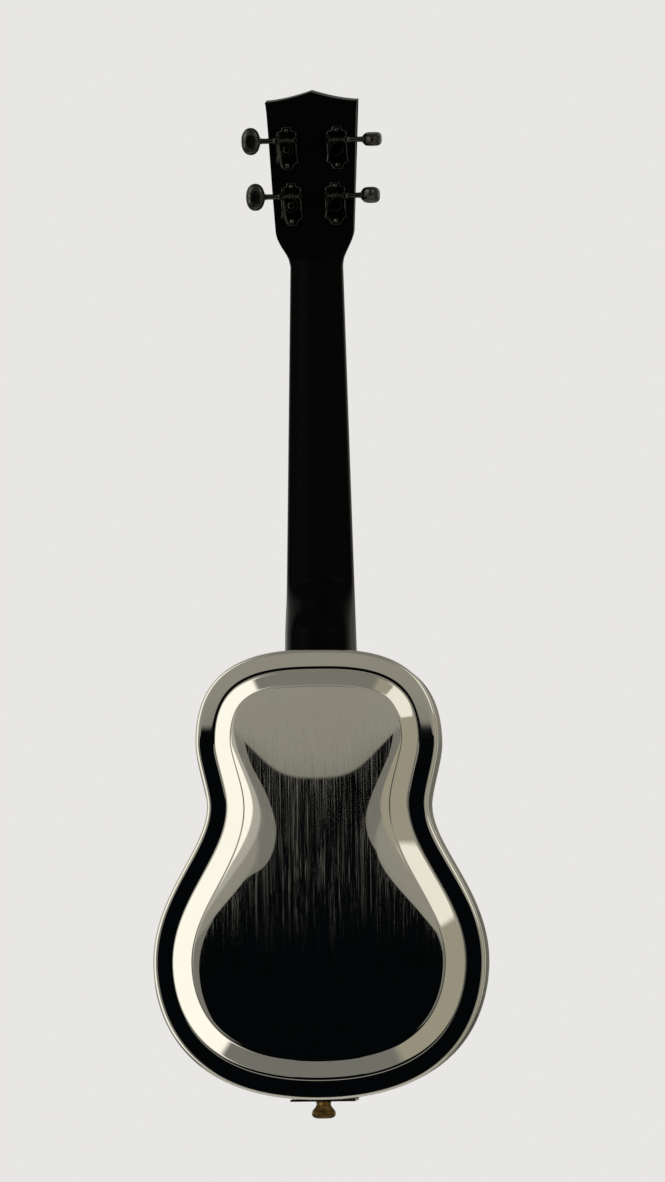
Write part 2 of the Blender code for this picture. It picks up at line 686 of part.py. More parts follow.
def neck_rings():
    heel_steps, flare_steps = 6, 6
    flare_z = HEAD_ROOT_Z - HEAD_FLARE_BELOW_ROOT
    heights = [NECK_JOINT + GAP + HEEL_RUN * i / heel_steps for i in range(heel_steps + 1)] + [flare_z]
    rings = []
    for z in heights:
        along = (z - NECK_JOINT) / (NUT_Z - NECK_JOINT)
        plain = mix(NECK_DEPTH_AT_HEEL, NECK_DEPTH_AT_NUT, along)
        heel = smooth_step((NECK_JOINT + HEEL_RUN - z) / (HEEL_RUN - STICK_IN_HEEL))
        section = neck_section(neck_width(z) / 2, mix(plain, HEEL_DEPTH, heel), NECK_SIDE, mix(2.2, 3.0, heel))
        rings.append([(a, front(-depth), z) for a, depth in section])
    for i in range(flare_steps + 1):
        s = HEAD_SHOULDER * i / flare_steps
        squared = smooth_step((i + 1) / flare_steps)
        side = mix(NECK_SIDE, HEAD_THICKNESS - HEAD_EDGE, squared)
        depth = mix(NECK_DEPTH_AT_NUT, HEAD_THICKNESS, squared)
        section = neck_section(head_half_width(s), depth, side, mix(2.2, 8.0, squared))
        rings.append([on_head(a, s, -depth) for a, depth in section])
    top = neck_section(HEAD_TOP_WIDTH / 2, HEAD_THICKNESS, HEAD_THICKNESS - HEAD_EDGE, 8.0)
    rings.append([on_head(a, crest(a), -depth) for a, depth in top])
    return rings


def post_spots():
    """The tuner number, side of the head, and place of each tuner's post across and up the head."""
    for number, (side, row, _) in TUNERS.items():
        s = POST_HEIGHTS[row]
        yield number, side, side * (head_half_width(s) - POST_INSET), s


BUSHING_BORE = around(POST_RADIUS + RUNNING_CLEARANCE, 16)


def post_tools(number, a0, s0):
    """Cutters for one post hole: the bushing's seat from the front, and the post's way through."""

    def place(a, b, level):
        return on_head(a0 + a, s0 + b, level)

    seat, through = around(BUSHING_BORE + BUSHING_WALL + GAP, 16), around(POST_RADIUS + GAP, 16)
    floor, over = OVERLAY_TOP - BUSHING_DEPTH - GAP, OVERLAY_TOP + SHEET
    yield turned(f"bushing_seat_tool_{number}", [(seat, floor), (seat, over)], place, 16)
    under = -HEAD_THICKNESS - SHEET
    yield turned(f"post_bore_tool_{number}", [(through, under), (through, floor + GAP)], place, 16)


def neck():
    piece = loft("neck", neck_rings(), "black_lacquer", strip_caps=True)
    mortise = stick_tool("mortise_tool", NECK_JOINT - SHEET, NECK_JOINT + STICK_IN_HEEL + 2 * GAP)
    boolean(piece, mortise, "DIFFERENCE")
    overlay_piece = head_overlay()
    for number, _, a0, s0 in post_spots():
        for tool in post_tools(number, a0, s0):
            boolean(piece, tool, "DIFFERENCE")
            if tool.name.startswith("bushing_seat"):
                boolean(overlay_piece, tool, "DIFFERENCE")


def head_overlay():
    steps = 5
    rise = HEAD_SHOULDER - OVERLAY_ABOVE_ROOT
    side = [(head_half_width(s), s) for s in (OVERLAY_ABOVE_ROOT + rise * i / steps for i in range(steps + 1))]
    top_half = HEAD_TOP_WIDTH / 2
    across = [top_half * math.cos(math.pi * i / (ACROSS_SAMPLES - 1)) for i in range(ACROSS_SAMPLES)]
    outline = side + [(a, crest(a)) for a in across] + [(-a, s) for a, s in reversed(side)]
    return prism("head_overlay", outline, on_head, GAP, OVERLAY_TOP, "black_lacquer")


def fret_z(number):
    return SADDLE_Z + SCALE_LENGTH / 2 ** (number / 12)


def across_neck(a, b, level):
    """Places shapes drawn from the front: a to +X, b up to z, level out of the front plate's plane."""
    return a, front(level), b


def fretboard():
    low, high = fret_z(FRETS) - FRETBOARD_PAST_LAST_FRET, NUT_Z - GAP
    low_half, high_half = neck_width(low) / 2, neck_width(high) / 2
    outline = [(-low_half, low), (low_half, low), (high_half, high), (-high_half, high)]
    board = prism("fretboard", outline, across_neck, GAP, FRETBOARD_TOP, "dark_fretboard")
    half = FRET_TANG_WIDTH / 2 + FITTED_GAP
    floor = FRETBOARD_TOP - FRET_TANG_DEPTH - FITTED_GAP
    for number in range(1, FRETS + 1):
        z = fret_z(number)
        low_corner = (-HEEL_WIDTH, front(FRETBOARD_TOP + FRET_CROWN), z - half)
        high_corner = (HEEL_WIDTH, front(floor), z + half)
        boolean(board, box(f"fret_slot_tool_{number}", low_corner, high_corner), "DIFFERENCE")


def frets():
    half, tang = FRET_WIDTH / 2, FRET_TANG_WIDTH / 2
    base = FRETBOARD_TOP + FITTED_GAP
    root = FRETBOARD_TOP - FRET_TANG_DEPTH
    section = [(-tang, root), (tang, root), (tang, base), (half, base), (half, base + 0.35 * FRET_CROWN)]
    section += [(0.5 * half, FRETBOARD_TOP + FRET_CROWN), (-0.5 * half, FRETBOARD_TOP + FRET_CROWN)]
    section += [(-half, base + 0.35 * FRET_CROWN), (-half, base), (-tang, base)]
    for number in range(1, FRETS + 1):
        z = fret_z(number)
        reach = neck_width(z) / 2 - FRET_END_GAP

        def place(a, b, level, z=z):
            return level, front(b), z + a

        prism(f"fret_{number:02d}", section, place, -reach, reach, "nickel_silver")


def nut():
    half = NUT_WIDTH / 2
    top = STRING_AT_NUT + NUT_ABOVE_STRINGS
    low, high = (-half, front(top), NUT_Z), (half, front(GAP), NUT_Z + NUT_THICKNESS)
    bar = box("nut", low, high, "bone")
    for number, radius in enumerate(STRING_RADII, 1):
        x, wide = string_line(number, SPREAD_AT_NUT), radius + FITTED_GAP
        low = (x - wide, front(top + SHEET), NUT_Z - SHEET)
        high = (x + wide, front(STRING_AT_NUT - wide), NUT_Z + NUT_THICKNESS + SHEET)
        boolean(bar, box(f"nut_slot_tool_{number}", low, high), "DIFFERENCE")


# ---- Strings ------------------------------------------------------------------------------------


def strings():
    ball = ((-1.0, 0.3), (-0.7, 0.75), (0.0, 1.0), (0.7, 0.75))
    sides = 6
    for number, side, a0, s0 in post_spots():
        radius = STRING_RADII[number - 1]
        tail_x = string_line(number, SPREAD_AT_TAIL)
        nut_x = string_line(number, SPREAD_AT_NUT)
        stops = []
        for step, share in ball:
            stops.append(((tail_x, front(BALL_LEVEL), BALL_Z + step * STRING_BALL_RADIUS), share * STRING_BALL_RADIUS))
        leaving_z = BALL_Z + STRING_BALL_RADIUS
        stops.append(((tail_x, front(string_level(leaving_z)), leaving_z), radius))
        stops.append(((string_line(number, SPREAD_AT_SADDLE), front(STRING_AT_SADDLE), SADDLE_Z), radius))
        stops.append(((nut_x, front(STRING_AT_NUT), NUT_Z), radius))
        stops.append(((nut_x, front(STRING_AT_NUT), NUT_Z + NUT_THICKNESS + GAP), radius))
        beside_post = a0 - side * (POST_RADIUS + 2 * radius)
        above_head = OVERLAY_TOP + GAP + BUSHING_FLANGE + 4 * max(STRING_RADII)
        stops.append((on_head(beside_post, s0, above_head), radius))
        rings = []
        for (x, y, z), size in stops:
            rings.append([(x + a, y + b, z) for a, b in circle(size, sides)])
        loft(f"string_{number}", rings, "nylon")


# ---- Tuners -------------------------------------------------------------------------------------


def tuner_place(side, a0, s0):
    """Placing function for one tuner: u outwards from its post, v up the head, w out of its back."""

    def place(u, v, w):
        return on_head(a0 + side * u, s0 + v, -HEAD_THICKNESS - w)

    return place


def tuner_plate(name, place):
    body, tab = LUG_HALF_SPAN + LUG_SHEET, PLATE_TAB_WIDTH / 2
    top, bottom = SHAFT_ABOVE_POST + PLATE_ABOVE_SHAFT, -PLATE_BELOW_POST
    ear = 0.9 * MM
    half = [
        (0.8 * tab, top),
        (tab, top - 0.8 * MM),
        (tab, top - 2.4 * MM),
        (body - 0.8 * MM, top - 3.2 * MM),
        (body, top - 4.4 * MM),
        (body, bottom + 9.8 * MM),
        (body + ear, bottom + 5.4 * MM),
        (0.5 * (body + tab), bottom + 4.4 * MM),
        (tab + 0.3 * MM, bottom + 2.2 * MM),
        (0.8 * tab, bottom),
    ]
    outline = half + [(-u, v) for u, v in reversed(half)]
    plate = prism(name, outline, place, GAP, GAP + PLATE_SHEET, "black_nickel")
    hole = around(POST_RADIUS + GAP, 16)
    bore = turned(f"{name}_bore_tool", [(hole, 0.0), (hole, GAP + 2 * PLATE_SHEET)], place, 16)
    boolean(plate, bore, "DIFFERENCE")
    for end, journal in ((-1, JOURNAL_RADIUS), (1, SHAFT_RADIUS)):
        boolean(plate, lug(f"{name}_lug_{end}", place, end, journal), "UNION")


def lug(name, place, end, journal):
    """An upright tongue of a tuner's plate, with the bearing hole for the worm's shaft."""
    half, top = LUG_WIDTH / 2, SHAFT_LEVEL + LUG_ABOVE_SHAFT
    foot = GAP + PLATE_SHEET / 2
    corner = 0.3 * half
    outline = [(-half, foot), (half, foot), (half, top - corner), (half - corner, top)]
    outline += [(-half + corner, top), (-half, top - corner)]

    def stand(a, b, level):
        return place(end * (LUG_HALF_SPAN + level), SHAFT_ABOVE_POST + a, b)

    tongue = prism(name, outline, stand, 0.0, LUG_SHEET - 0.02 * MM)
    hole = around(journal + RUNNING_CLEARANCE, 12)

    def bored(a, b, level):
        return stand(a, SHAFT_LEVEL + b, level)

    tool = turned(f"{name}_bore_tool", [(hole, -LUG_SHEET), (hole, 2 * LUG_SHEET)], bored, 12)
    boolean(tongue, tool, "DIFFERENCE")
    return tongue


WORM_STEPS = 8  # points round the worm, and rings in each pitch of its thread


def thread_radius(phase):
    """Radius of the worm where its thread is that share of a pitch away from the crest."""
    away = abs((phase + 0.5) % 1.0 - 0.5)
    height = min(max((0.30 - away) / 0.20, 0.0), 1.0)
    return WORM_PITCH_RADIUS - TOOTH_HALF_DEPTH + height * (TOOTH_HALF_DEPTH + TOOTH_HALF_HEIGHT)


def worm_shaft(name, place):
    """The worm, its two journals and the shaft out to the knob, in one piece."""
    angles = [TURN * j / WORM_STEPS for j in range(WORM_STEPS)]

    def ring(u, radii):
        turns = zip(angles, radii)
        return [place(u, SHAFT_ABOVE_POST + r * math.sin(t), SHAFT_LEVEL + r * math.cos(t)) for t, r in turns]

    def plain(u, radius):
        return ring(u, [radius] * WORM_STEPS)

    half, core = WORM_TURNS * WORM_PITCH / 2, WORM_PITCH_RADIUS - TOOTH_HALF_DEPTH
    shoulder = LUG_HALF_SPAN - GAP
    outside = LUG_HALF_SPAN + LUG_SHEET + GAP
    collar = shoulder - WORM_COLLAR
    rings = [plain(-outside - GAP, JOURNAL_RADIUS), plain(-shoulder, JOURNAL_RADIUS)]
    rings += [plain(-shoulder, WORM_COLLAR_RADIUS), plain(-collar, WORM_COLLAR_RADIUS), plain(-collar, core)]
    rings.append(plain(-half, core))
    count = WORM_TURNS * WORM_STEPS
    for i in range(1, count):
        share = i / WORM_STEPS - WORM_TURNS / 2
        rings.append(ring(share * WORM_PITCH, [thread_radius(share - t / TURN - 0.25) for t in angles]))
    rings.append(plain(half, core))
    rings += [plain(collar, core), plain(collar, WORM_COLLAR_RADIUS), plain(shoulder, WORM_COLLAR_RADIUS)]
    rings += [plain(shoulder, SHAFT_RADIUS), plain(outside, SHAFT_RADIUS)]
    rings += [plain(outside, 1.35 * SHAFT_RADIUS), plain(outside + 1.6 * MM, 1.35 * SHAFT_RADIUS)]
    rings += [plain(outside + 1.6 * MM, SHAFT_RADIUS), plain(SHAFT_REACH + KNOB_SOCKET - GAP, SHAFT_RADIUS)]
    loft(name, rings, "black_nickel", diagonal=True)


def knob(name, place, turned_by):
    """An oval knob on the worm's shaft, turned that far from lying flat with the head."""
    lengths, sides = 8, 14
    cos, sin = math.cos(turned_by), math.sin(turned_by)
    rings = []
    for i in range(lengths + 1):
        t = -math.cos(math.pi * i / lengths)
        hub = KNOB_HUB_RADIUS if t < 0 else 0.55 * KNOB_HUB_RADIUS
        tall = max(KNOB_HEIGHT / 2 * (1 - abs(t) ** 2.2) ** (1 / 2.2), hub)
        thick = max(KNOB_THICKNESS / 2 * (1 - abs(t) ** 3) ** (1 / 3), hub)
        ring = []
        for a, b in circle(1.0, sides):
            v, w = a * tall, b * thick
            v, w = v * cos - w * sin, v * sin + w * cos
            ring.append(place(SHAFT_REACH + (t + 1) / 2 * KNOB_WIDTH, SHAFT_ABOVE_POST + v, SHAFT_LEVEL + w))
        rings.append(ring)
    piece = loft(name, rings, "black_nickel")
    hole = around(SHAFT_RADIUS + RUNNING_CLEARANCE, 12)

    def socket(a, b, level):
        return place(level, SHAFT_ABOVE_POST + a, SHAFT_LEVEL + b)

    tool = turned(f"{name}_socket_tool", [(hole, SHAFT_REACH - SHEET), (hole, SHAFT_REACH + KNOB_SOCKET)], socket, 12)
    boolean(piece, tool, "DIFFERENCE")


def gear_outline(swing):
    """The gear's teeth as (u, v) points, turned so that a gap faces the worm, plus a small swing."""
    root, tip = GEAR_RADIUS - TOOTH_HALF_DEPTH, GEAR_RADIUS + TOOTH_HALF_HEIGHT
    points = []
    for tooth in range(GEAR_TEETH):
        for shift, radius in ((-0.26, root), (-0.11, tip), (0.11, tip), (0.26, root)):
            angle = TURN * (tooth + 0.5 + shift) / GEAR_TEETH + swing
            points.append((radius * math.sin(angle), radius * math.cos(angle)))
    return points


def gear_post(name, place):
    """The string post and the worm gear fixed to its lower end, in one piece."""
    top = -HEAD_THICKNESS - OVERLAY_TOP - POST_OUT_OF_HEAD
    gear_top = GEAR_FOOT + GEAR_WIDTH
    waist_low, waist_high = top + 0.75 * POST_OUT_OF_HEAD, top + 0.2 * POST_OUT_OF_HEAD
    profile = [
        (0.8 * POST_RADIUS, top),
        (POST_RADIUS, top + 0.05 * POST_OUT_OF_HEAD),
        (POST_RADIUS, waist_high),
        (0.87 * POST_RADIUS, mix(waist_low, waist_high, 0.5)),
        (POST_RADIUS, waist_low),
        (POST_RADIUS, gear_top - 0.2 * GEAR_WIDTH),
        (GEAR_CAP_RADIUS, gear_top - 0.2 * GEAR_WIDTH),
        (GEAR_CAP_RADIUS, gear_top + GEAR_CAP),
    ]
    post = turned(name, profile, place, 16, "black_nickel")
    swing = WORM_PITCH * GEAR_WIDTH / 2 / (TURN * WORM_PITCH_RADIUS * GEAR_RADIUS)
    rings = []
    for level, turn in ((GEAR_FOOT, -swing), (gear_top, swing)):
        rings.append([place(u, v, level) for u, v in gear_outline(turn)])
    boolean(post, loft(f"{name}_gear", rings), "UNION")
    hole_at = top + POST_HOLE_DOWN

    def sideways(a, b, level):
        return place(level, a, hole_at + b)

    reach = 2 * POST_RADIUS
    hole = turned(f"{name}_hole_tool", [(POST_HOLE_RADIUS, -reach), (POST_HOLE_RADIUS, reach)], sideways, 8)
    boolean(post, hole, "DIFFERENCE")


def bushing(name, place):
    """The brimmed sleeve round a post on the head's front."""
    face = -HEAD_THICKNESS - OVERLAY_TOP
    outer = BUSHING_BORE + BUSHING_WALL
    brim = face - GAP
    profile = [
        (BUSHING_BORE, face + BUSHING_DEPTH),
        (BUSHING_BORE, brim - BUSHING_FLANGE),
        (outer + 0.5 * BUSHING_BRIM, brim - BUSHING_FLANGE),
        (outer + BUSHING_BRIM, brim - 0.4 * BUSHING_FLANGE),
        (outer + BUSHING_BRIM, brim),
        (outer, brim),
        (outer, face + BUSHING_DEPTH),
    ]
    turned(name, profile, place, 16, "black_nickel", ring=True)


def tuners():
    for number, side, a0, s0 in post_spots():
        place = tuner_place(side, a0, s0)
        tuner_plate(f"tuner_{number}_plate", place)
        worm_shaft(f"tuner_{number}_worm_shaft", place)
        knob(f"tuner_{number}_button", place, TUNERS[number][2])
        gear_post(f"tuner_{number}_gear_post", place)
        bushing(f"tuner_{number}_bushing", place)


# ---- The whole instrument -----------------------------------------------------------------------


def build():
    clear_scene()
    for make in (
        front_plate,
        side_band,
        back_plate,
        cone_well,
        resonator_cone,
        biscuit,
        saddle,
        coverplate,
        handrest,
        tailpiece,
        end_button,
        neck_stick,
        stick_dowels,
        neck,
        fretboard,
        frets,
        nut,
        strings,
        tuners,
    ):
        make()


build()
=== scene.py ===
"""Looks of the four-string resonator guitar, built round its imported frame.

Shapes are drawn in millimetres and turned into metres when their mesh is made. +Z runs up the neck,
-Y is the playing side, +Y the back, and the plates' outer faces lie at y = -FACE and y = +FACE.
"""

import math

import bmesh
import bpy
from mathutils import Euler, Matrix, Vector


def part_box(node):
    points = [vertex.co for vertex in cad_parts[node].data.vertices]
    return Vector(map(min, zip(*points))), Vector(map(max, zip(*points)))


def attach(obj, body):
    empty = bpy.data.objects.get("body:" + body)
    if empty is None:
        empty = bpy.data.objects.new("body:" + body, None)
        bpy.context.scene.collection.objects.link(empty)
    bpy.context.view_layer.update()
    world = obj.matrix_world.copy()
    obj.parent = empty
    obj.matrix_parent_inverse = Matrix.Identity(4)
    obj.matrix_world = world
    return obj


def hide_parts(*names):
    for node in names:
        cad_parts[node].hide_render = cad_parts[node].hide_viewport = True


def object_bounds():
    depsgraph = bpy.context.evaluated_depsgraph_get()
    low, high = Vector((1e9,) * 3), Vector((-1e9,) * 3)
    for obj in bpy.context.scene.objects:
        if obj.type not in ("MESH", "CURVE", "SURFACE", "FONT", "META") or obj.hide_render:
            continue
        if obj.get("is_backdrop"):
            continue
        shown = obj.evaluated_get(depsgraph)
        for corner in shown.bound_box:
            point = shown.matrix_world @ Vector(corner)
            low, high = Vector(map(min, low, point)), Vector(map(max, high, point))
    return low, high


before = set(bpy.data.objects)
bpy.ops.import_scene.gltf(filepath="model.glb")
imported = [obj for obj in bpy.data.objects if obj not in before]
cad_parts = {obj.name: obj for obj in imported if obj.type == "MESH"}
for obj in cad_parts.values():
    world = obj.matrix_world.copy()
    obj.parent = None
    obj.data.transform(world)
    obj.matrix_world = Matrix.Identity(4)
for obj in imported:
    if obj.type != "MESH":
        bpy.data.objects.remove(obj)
cad_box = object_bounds()

MM = 0.001
TURN = 2 * math.pi


def extent(node):
    """The lowest and highest corner of a CAD node, in millimetres."""
    return [Vector(corner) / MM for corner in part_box(node)]


def middle(node):
    low, high = extent(node)
    return (low + high) / 2


# ---- Sizes, in millimetres ----------------------------------------------------------------------

back_low, back_high = extent("back_plate")
TAIL_EDGE, NECK_JOINT = back_low.z, back_high.z
BODY_LENGTH = NECK_JOINT - TAIL_EDGE
LOWER_BOUT = back_high.x - back_low.x
UPPER_BOUT, WAIST = 0.732 * LOWER_BOUT, 0.666 * LOWER_BOUT
UPPER_BOUT_AT, WAIST_AT, LOWER_BOUT_AT = 0.794, 0.654, 0.306  # shares of the length, from the tail
FACE = -extent("front_plate")[0].y
SHEET = 1.0
GAP = 0.3
LIP_DEPTH = 3.0
EDGE_ROUND = 2.4
MARGIN_WIDTH = 14.3
SLOPE_WIDTH_TOP, SLOPE_WIDTH_TAIL = 9.4, 12.2
SLOPE_RISE = 4.0
CREASE = 0.8  # half the width of a pressed corner
WAIST_DIP, DIP_RUN = 1.35, 6.8
DIP_UP, DIP_DOWN = 40.0, 52.0  # how far the dip spreads over and under the waist
PILLOW_RISE, PILLOW_RUN = 0.30, 8.0  # of the panel just inside the stamped step
DOME_RISE, DOME_HALF_WIDTH, DOME_HALF_LENGTH, DOME_Z = 0.80, 39.0, 100.0, 200.0
BAND_HALF = extent("side_band")[1].y
BAND_INSET = SHEET + GAP

SADDLE_Z = middle("saddle").z
NUT_LOW, NUT_HIGH = extent("nut")
NUT_WIDTH = NUT_HIGH.x - NUT_LOW.x
SCALE_LENGTH = NUT_LOW.z - SADDLE_Z
HEEL_WIDTH = 48.0
HEAD_ROOT = NUT_HIGH.z + GAP
HEAD_TILT = math.radians(13.0)
HEAD_THICKNESS = 14.0
HEAD_LENGTH = 115.8
HEAD_PEAK = 6.6
HEAD_SHOULDER = 21.0
HEAD_SHOULDER_WIDTH = 53.6
HEAD_TOP_WIDTH = 63.4
FLARE_BELOW_ROOT = 6.0
OVERLAY = (0.3, 1.9)  # levels of the overlay's faces over the head's front
NECK_SIDE = 3.0
NECK_DEPTH_AT_HEEL, NECK_DEPTH_AT_NUT = 16.5, 13.0
HEEL_DEPTH = 44.0
HEEL_RUN = 52.0
STICK_IN_HEEL = 12.0

WELL_RADIUS = 68.5
COVER_RADIUS = extent("coverplate")[1].x
COVER_TOP = -FACE - extent("coverplate")[0].y
COVER_SLOPE_WIDTH = 16.0  # from the cover's rim to the top of its slope
COVER_CROWN = 39.0  # radius of the flat round its middle hole
CONE_RADIUS = extent("resonator_cone")[1].x
CONE_TOP = -FACE - extent("resonator_cone")[0].y
BISCUIT_RADIUS = extent("biscuit")[1].x
BISCUIT_TOP = -FACE - extent("biscuit")[0].y
BOARD_LOW, BOARD_HIGH = extent("fretboard")
BOARD_TOP = -FACE - BOARD_LOW.y
FRETS = 18

STRING_RADII = (0.30, 0.41, 0.46, 0.36)
WRAP_PITCH, STRING_SIDES, STRING_TURNS = 0.45, 12, 3.4
STRING_SPREAD = {"tail": 34.0, "saddle": 40.5, "nut": 28.0}
STRING_AT_NUT, STRING_AT_SADDLE, BALL_LEVEL, BALL_Z = 7.7, 11.7, 5.4, 30.8

GEAR_TEETH = 14
GEAR_MODULE = 0.62
GEAR_RADIUS = GEAR_MODULE * GEAR_TEETH / 2
WORM_RADIUS = 1.75
THREAD_DEPTH = 0.68
WORM_PITCH = math.pi * GEAR_MODULE
SHAFT_V = GEAR_RADIUS + WORM_RADIUS
SHAFT_W = 4.3
SHAFT_RADIUS = 1.85
POST_RADIUS = 3.0
POST_INSET = 12.7  # of a post from the head's side
LUG_INNER = 6.0
# tuner number: side of the head, post's place up the head, knob's turn at rest
TUNERS = {
    1: (1, 38.8, 0.0),
    2: (1, 77.0, 0.0),
    3: (-1, 77.0, math.radians(90.0)),
    4: (-1, 38.8, math.radians(68.0)),
}


# ---- Shape tools: a shape is a list of points and a list of faces --------------------------------


def smooth_step(t):
    t = min(max(t, 0.0), 1.0)
    return t * t * (3 - 2 * t)


def mix(a, b, share):
    return a + (b - a) * share


def circle(radius, sides, start=0.0):
    angles = (start + TURN * i / sides for i in range(sides))
    return [(radius * math.cos(angle), radius * math.sin(angle)) for angle in angles]


def skin(rings, endless=False, capped=True):
    """Joins rings of equally many points with faces, and closes the two ends."""
    count = len(rings[0])
    points = [tuple(point) for ring in rings for point in ring]
    faces = []
    for row in range(len(rings) if endless else len(rings) - 1):
        low, high = row * count, (row + 1) % len(rings) * count
        for i in range(count):
            j = (i + 1) % count
            faces.append((low + i, low + j, high + j, high + i))
    if capped and not endless:
        last = (len(rings) - 1) * count
        faces += [tuple(range(count)), tuple(range(last, last + count))]
    return points, faces


def turned(profile, place, sides, endless=False):
    """Turns (radius, level) points about an axis; place(a, b, level) puts them in the instrument."""
    return skin([[place(a, b, level) for a, b in circle(r, sides)] for r, level in profile], endless)


def moved_outline(outline, distance):
    """A closed outline of (a, b) points moved inwards."""
    area = sum(a[0] * b[1] - b[0] * a[1] for a, b in zip(outline, outline[1:] + outline[:1]))
    inwards = math.copysign(distance, area)
    moved = []
    for i, (a, b) in enumerate(outline):
        before, after = outline[i - 1], outline[(i + 1) % len(outline)]
        one = Vector((a - before[0], b - before[1])).normalized()
        two = Vector((after[0] - a, after[1] - b)).normalized()
        along = (one + two).normalized()
        reach = inwards / max(along.dot(one), 0.35)
        moved.append((a - along.y * reach, b + along.x * reach))
    return moved


def slab(outline, place, low, high, edge=0.3, steps=3):
    """A flat outline given a thickness, with rounded edges."""
    rings = []
    corners = [math.pi / 2 * i / steps for i in range(steps + 1)]
    for angle in corners:
        inner = moved_outline(outline, edge * (1 - math.sin(angle)))
        rings.append([place(a, b, low + edge * (1 - math.cos(angle))) for a, b in inner])
    for angle in reversed(corners):
        inner = moved_outline(outline, edge * (1 - math.sin(angle)))
        rings.append([place(a, b, high - edge * (1 - math.cos(angle))) for a, b in inner])
    return skin(rings)


def block(low, high, edge=0.0):
    (x0, y0, z0), (x1, y1, z1) = low, high
    corners = [(x0, y0), (x1, y0), (x1, y1), (x0, y1)]
    if edge:
        return slab(filleted(corners, 2 * edge, 3, True), lambda a, b, c: (a, b, c), z0, z1, edge)
    return skin([[(x, y, z) for x, y in corners] for z in (z0, z1)])


def filleted(points, radius, steps=5, closed=False):
    """A line of (a, b) points with its corners rounded."""
    points = [Vector(point) for point in points]
    count = len(points)
    rounded = []
    for i, here in enumerate(points):
        if not closed and i in (0, count - 1):
            rounded.append(tuple(here))
            continue
        before, after = points[i - 1], points[(i + 1) % count]
        cut = min(radius, 0.49 * (here - before).length, 0.49 * (after - here).length)
        start, end = here + (before - here).normalized() * cut, here + (after - here).normalized() * cut
        for k in range(steps + 1):
            t = k / steps
            rounded.append(tuple(start * (1 - t) ** 2 + here * 2 * t * (1 - t) + end * t * t))
    return rounded


def bezier(start, handle, other_handle, end, steps):
    """Points along a cubic curve, without its last one."""
    held = [Vector(point) for point in (start, handle, other_handle, end)]
    points = []
    for i in range(steps):
        t = i / steps
        weights = ((1 - t) ** 3, 3 * (1 - t) ** 2 * t, 3 * (1 - t) * t * t, t**3)
        points.append(tuple(sum((at * weight for at, weight in zip(held, weights)), Vector((0, 0)))))
    return points


def strip(path, thickness, width, place, edge=0.35):
    """A bent strip: its middle follows path, and place(a, b, across) puts it in the instrument."""
    half, wide = thickness / 2, width / 2
    section = filleted([(-half, -wide), (half, -wide), (half, wide), (-half, wide)], edge, 3, True)
    rings = []
    for i, point in enumerate(path):
        here = Vector(point)
        before = here - Vector(path[i - 1]) if i else Vector(path[1]) - here
        after = Vector(path[i + 1]) - here if i + 1 < len(path) else before
        along = (before.normalized() + after.normalized()).normalized()
        side = Vector((-along.y, along.x))
        rings.append([place(*(here + side * off), across) for off, across in section])
    return skin(rings)


def tube(path, radius, sides):
    """A round wire along a path of points."""
    path = [Vector(point) for point in path]
    rings = []
    side = None
    for i, here in enumerate(path):
        along = (path[min(i + 1, len(path) - 1)] - path[max(i - 1, 0)]).normalized()
        side = (along.orthogonal() if side is None else side - along * side.dot(along)).normalized()
        up = along.cross(side)
        rings.append([here + side * a + up * b for a, b in circle(radius, sides)])
    return skin(rings)


def merged(*shapes):
    points, faces = [], []
    for some_points, some_faces in shapes:
        start = len(points)
        points += some_points
        faces += [tuple(start + i for i in face) for face in some_faces]
    return points, faces


def shaded(mesh, angle=32):
    mesh.shade_smooth()
    mesh.set_sharp_from_angle(angle=math.radians(angle))


def made(name, shape, finish=None, angle=32):
    """A shape as an object in metres, with its doubles merged and its faces turned outwards."""
    points, faces = shape
    mesh = bpy.data.meshes.new(name)
    mesh.from_pydata([tuple(c * MM for c in point) for point in points], [], faces)
    work = bmesh.new()
    work.from_mesh(mesh)
    bmesh.ops.remove_doubles(work, verts=work.verts, dist=1e-7)
    bmesh.ops.recalc_face_normals(work, faces=work.faces)
    work.to_mesh(mesh)
    work.free()
    shaded(mesh, angle)
    piece = bpy.data.objects.new(name, mesh)
    bpy.context.scene.collection.objects.link(piece)
    if finish:
        mesh.materials.append(finish)
    return piece


def plain_mesh(piece, angle=32):
    """Applies a piece's modifiers and takes them off."""
    bpy.context.view_layer.update()
    depsgraph = bpy.context.evaluated_depsgraph_get()
    mesh = bpy.data.meshes.new_from_object(piece.evaluated_get(depsgraph), depsgraph=depsgraph)
    piece.modifiers.clear()
    piece.data = mesh
    shaded(mesh, angle)
    return piece


def cut(piece, *tools, angle=32):
    """Cuts shapes out of a piece."""
    for shape in tools:
        tool = shape if isinstance(shape, bpy.types.Object) else made("cutter", shape)
        step = piece.modifiers.new("cut", "BOOLEAN")
        step.operation, step.solver, step.object = "DIFFERENCE", "EXACT", tool
        plain_mesh(piece, angle)
        bpy.data.objects.remove(tool)
    return piece


def settle(piece, body, slot, *nodes):
    """Puts a finished piece on its body and hides the CAD nodes that it stands for; the slot is not used."""
    if nodes:
        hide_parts(*nodes)
    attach(piece, body)
    return piece


def front(height):
    """y of a point that far out of the front plate's face."""
    return -FACE - height


def on_front(a, b, level):
    """Places shapes drawn round the cone's axis: a to +X, b to +Z, level out of the front."""
    return a, front(level), SADDLE_Z + b


def across_neck(a, b, level):
    """Places shapes drawn from the front: a to +X, b up to z, level out of the front plate's plane."""
    return a, front(level), b


def upright(a, b, level):
    return a, b, level


# ---- Node tools ---------------------------------------------------------------------------------


def add(tree, kind, inputs=None, **settings):
    """A node with its settings and inputs; an input is a value or another node's output."""
    node = tree.nodes.new(kind)
    for name, value in settings.items():
        setattr(node, name, value)
    for name, value in (inputs or {}).items():
        if isinstance(value, bpy.types.NodeSocket):
            tree.links.new(value, node.inputs[name])
        else:
            node.inputs[name].default_value = value
    return node


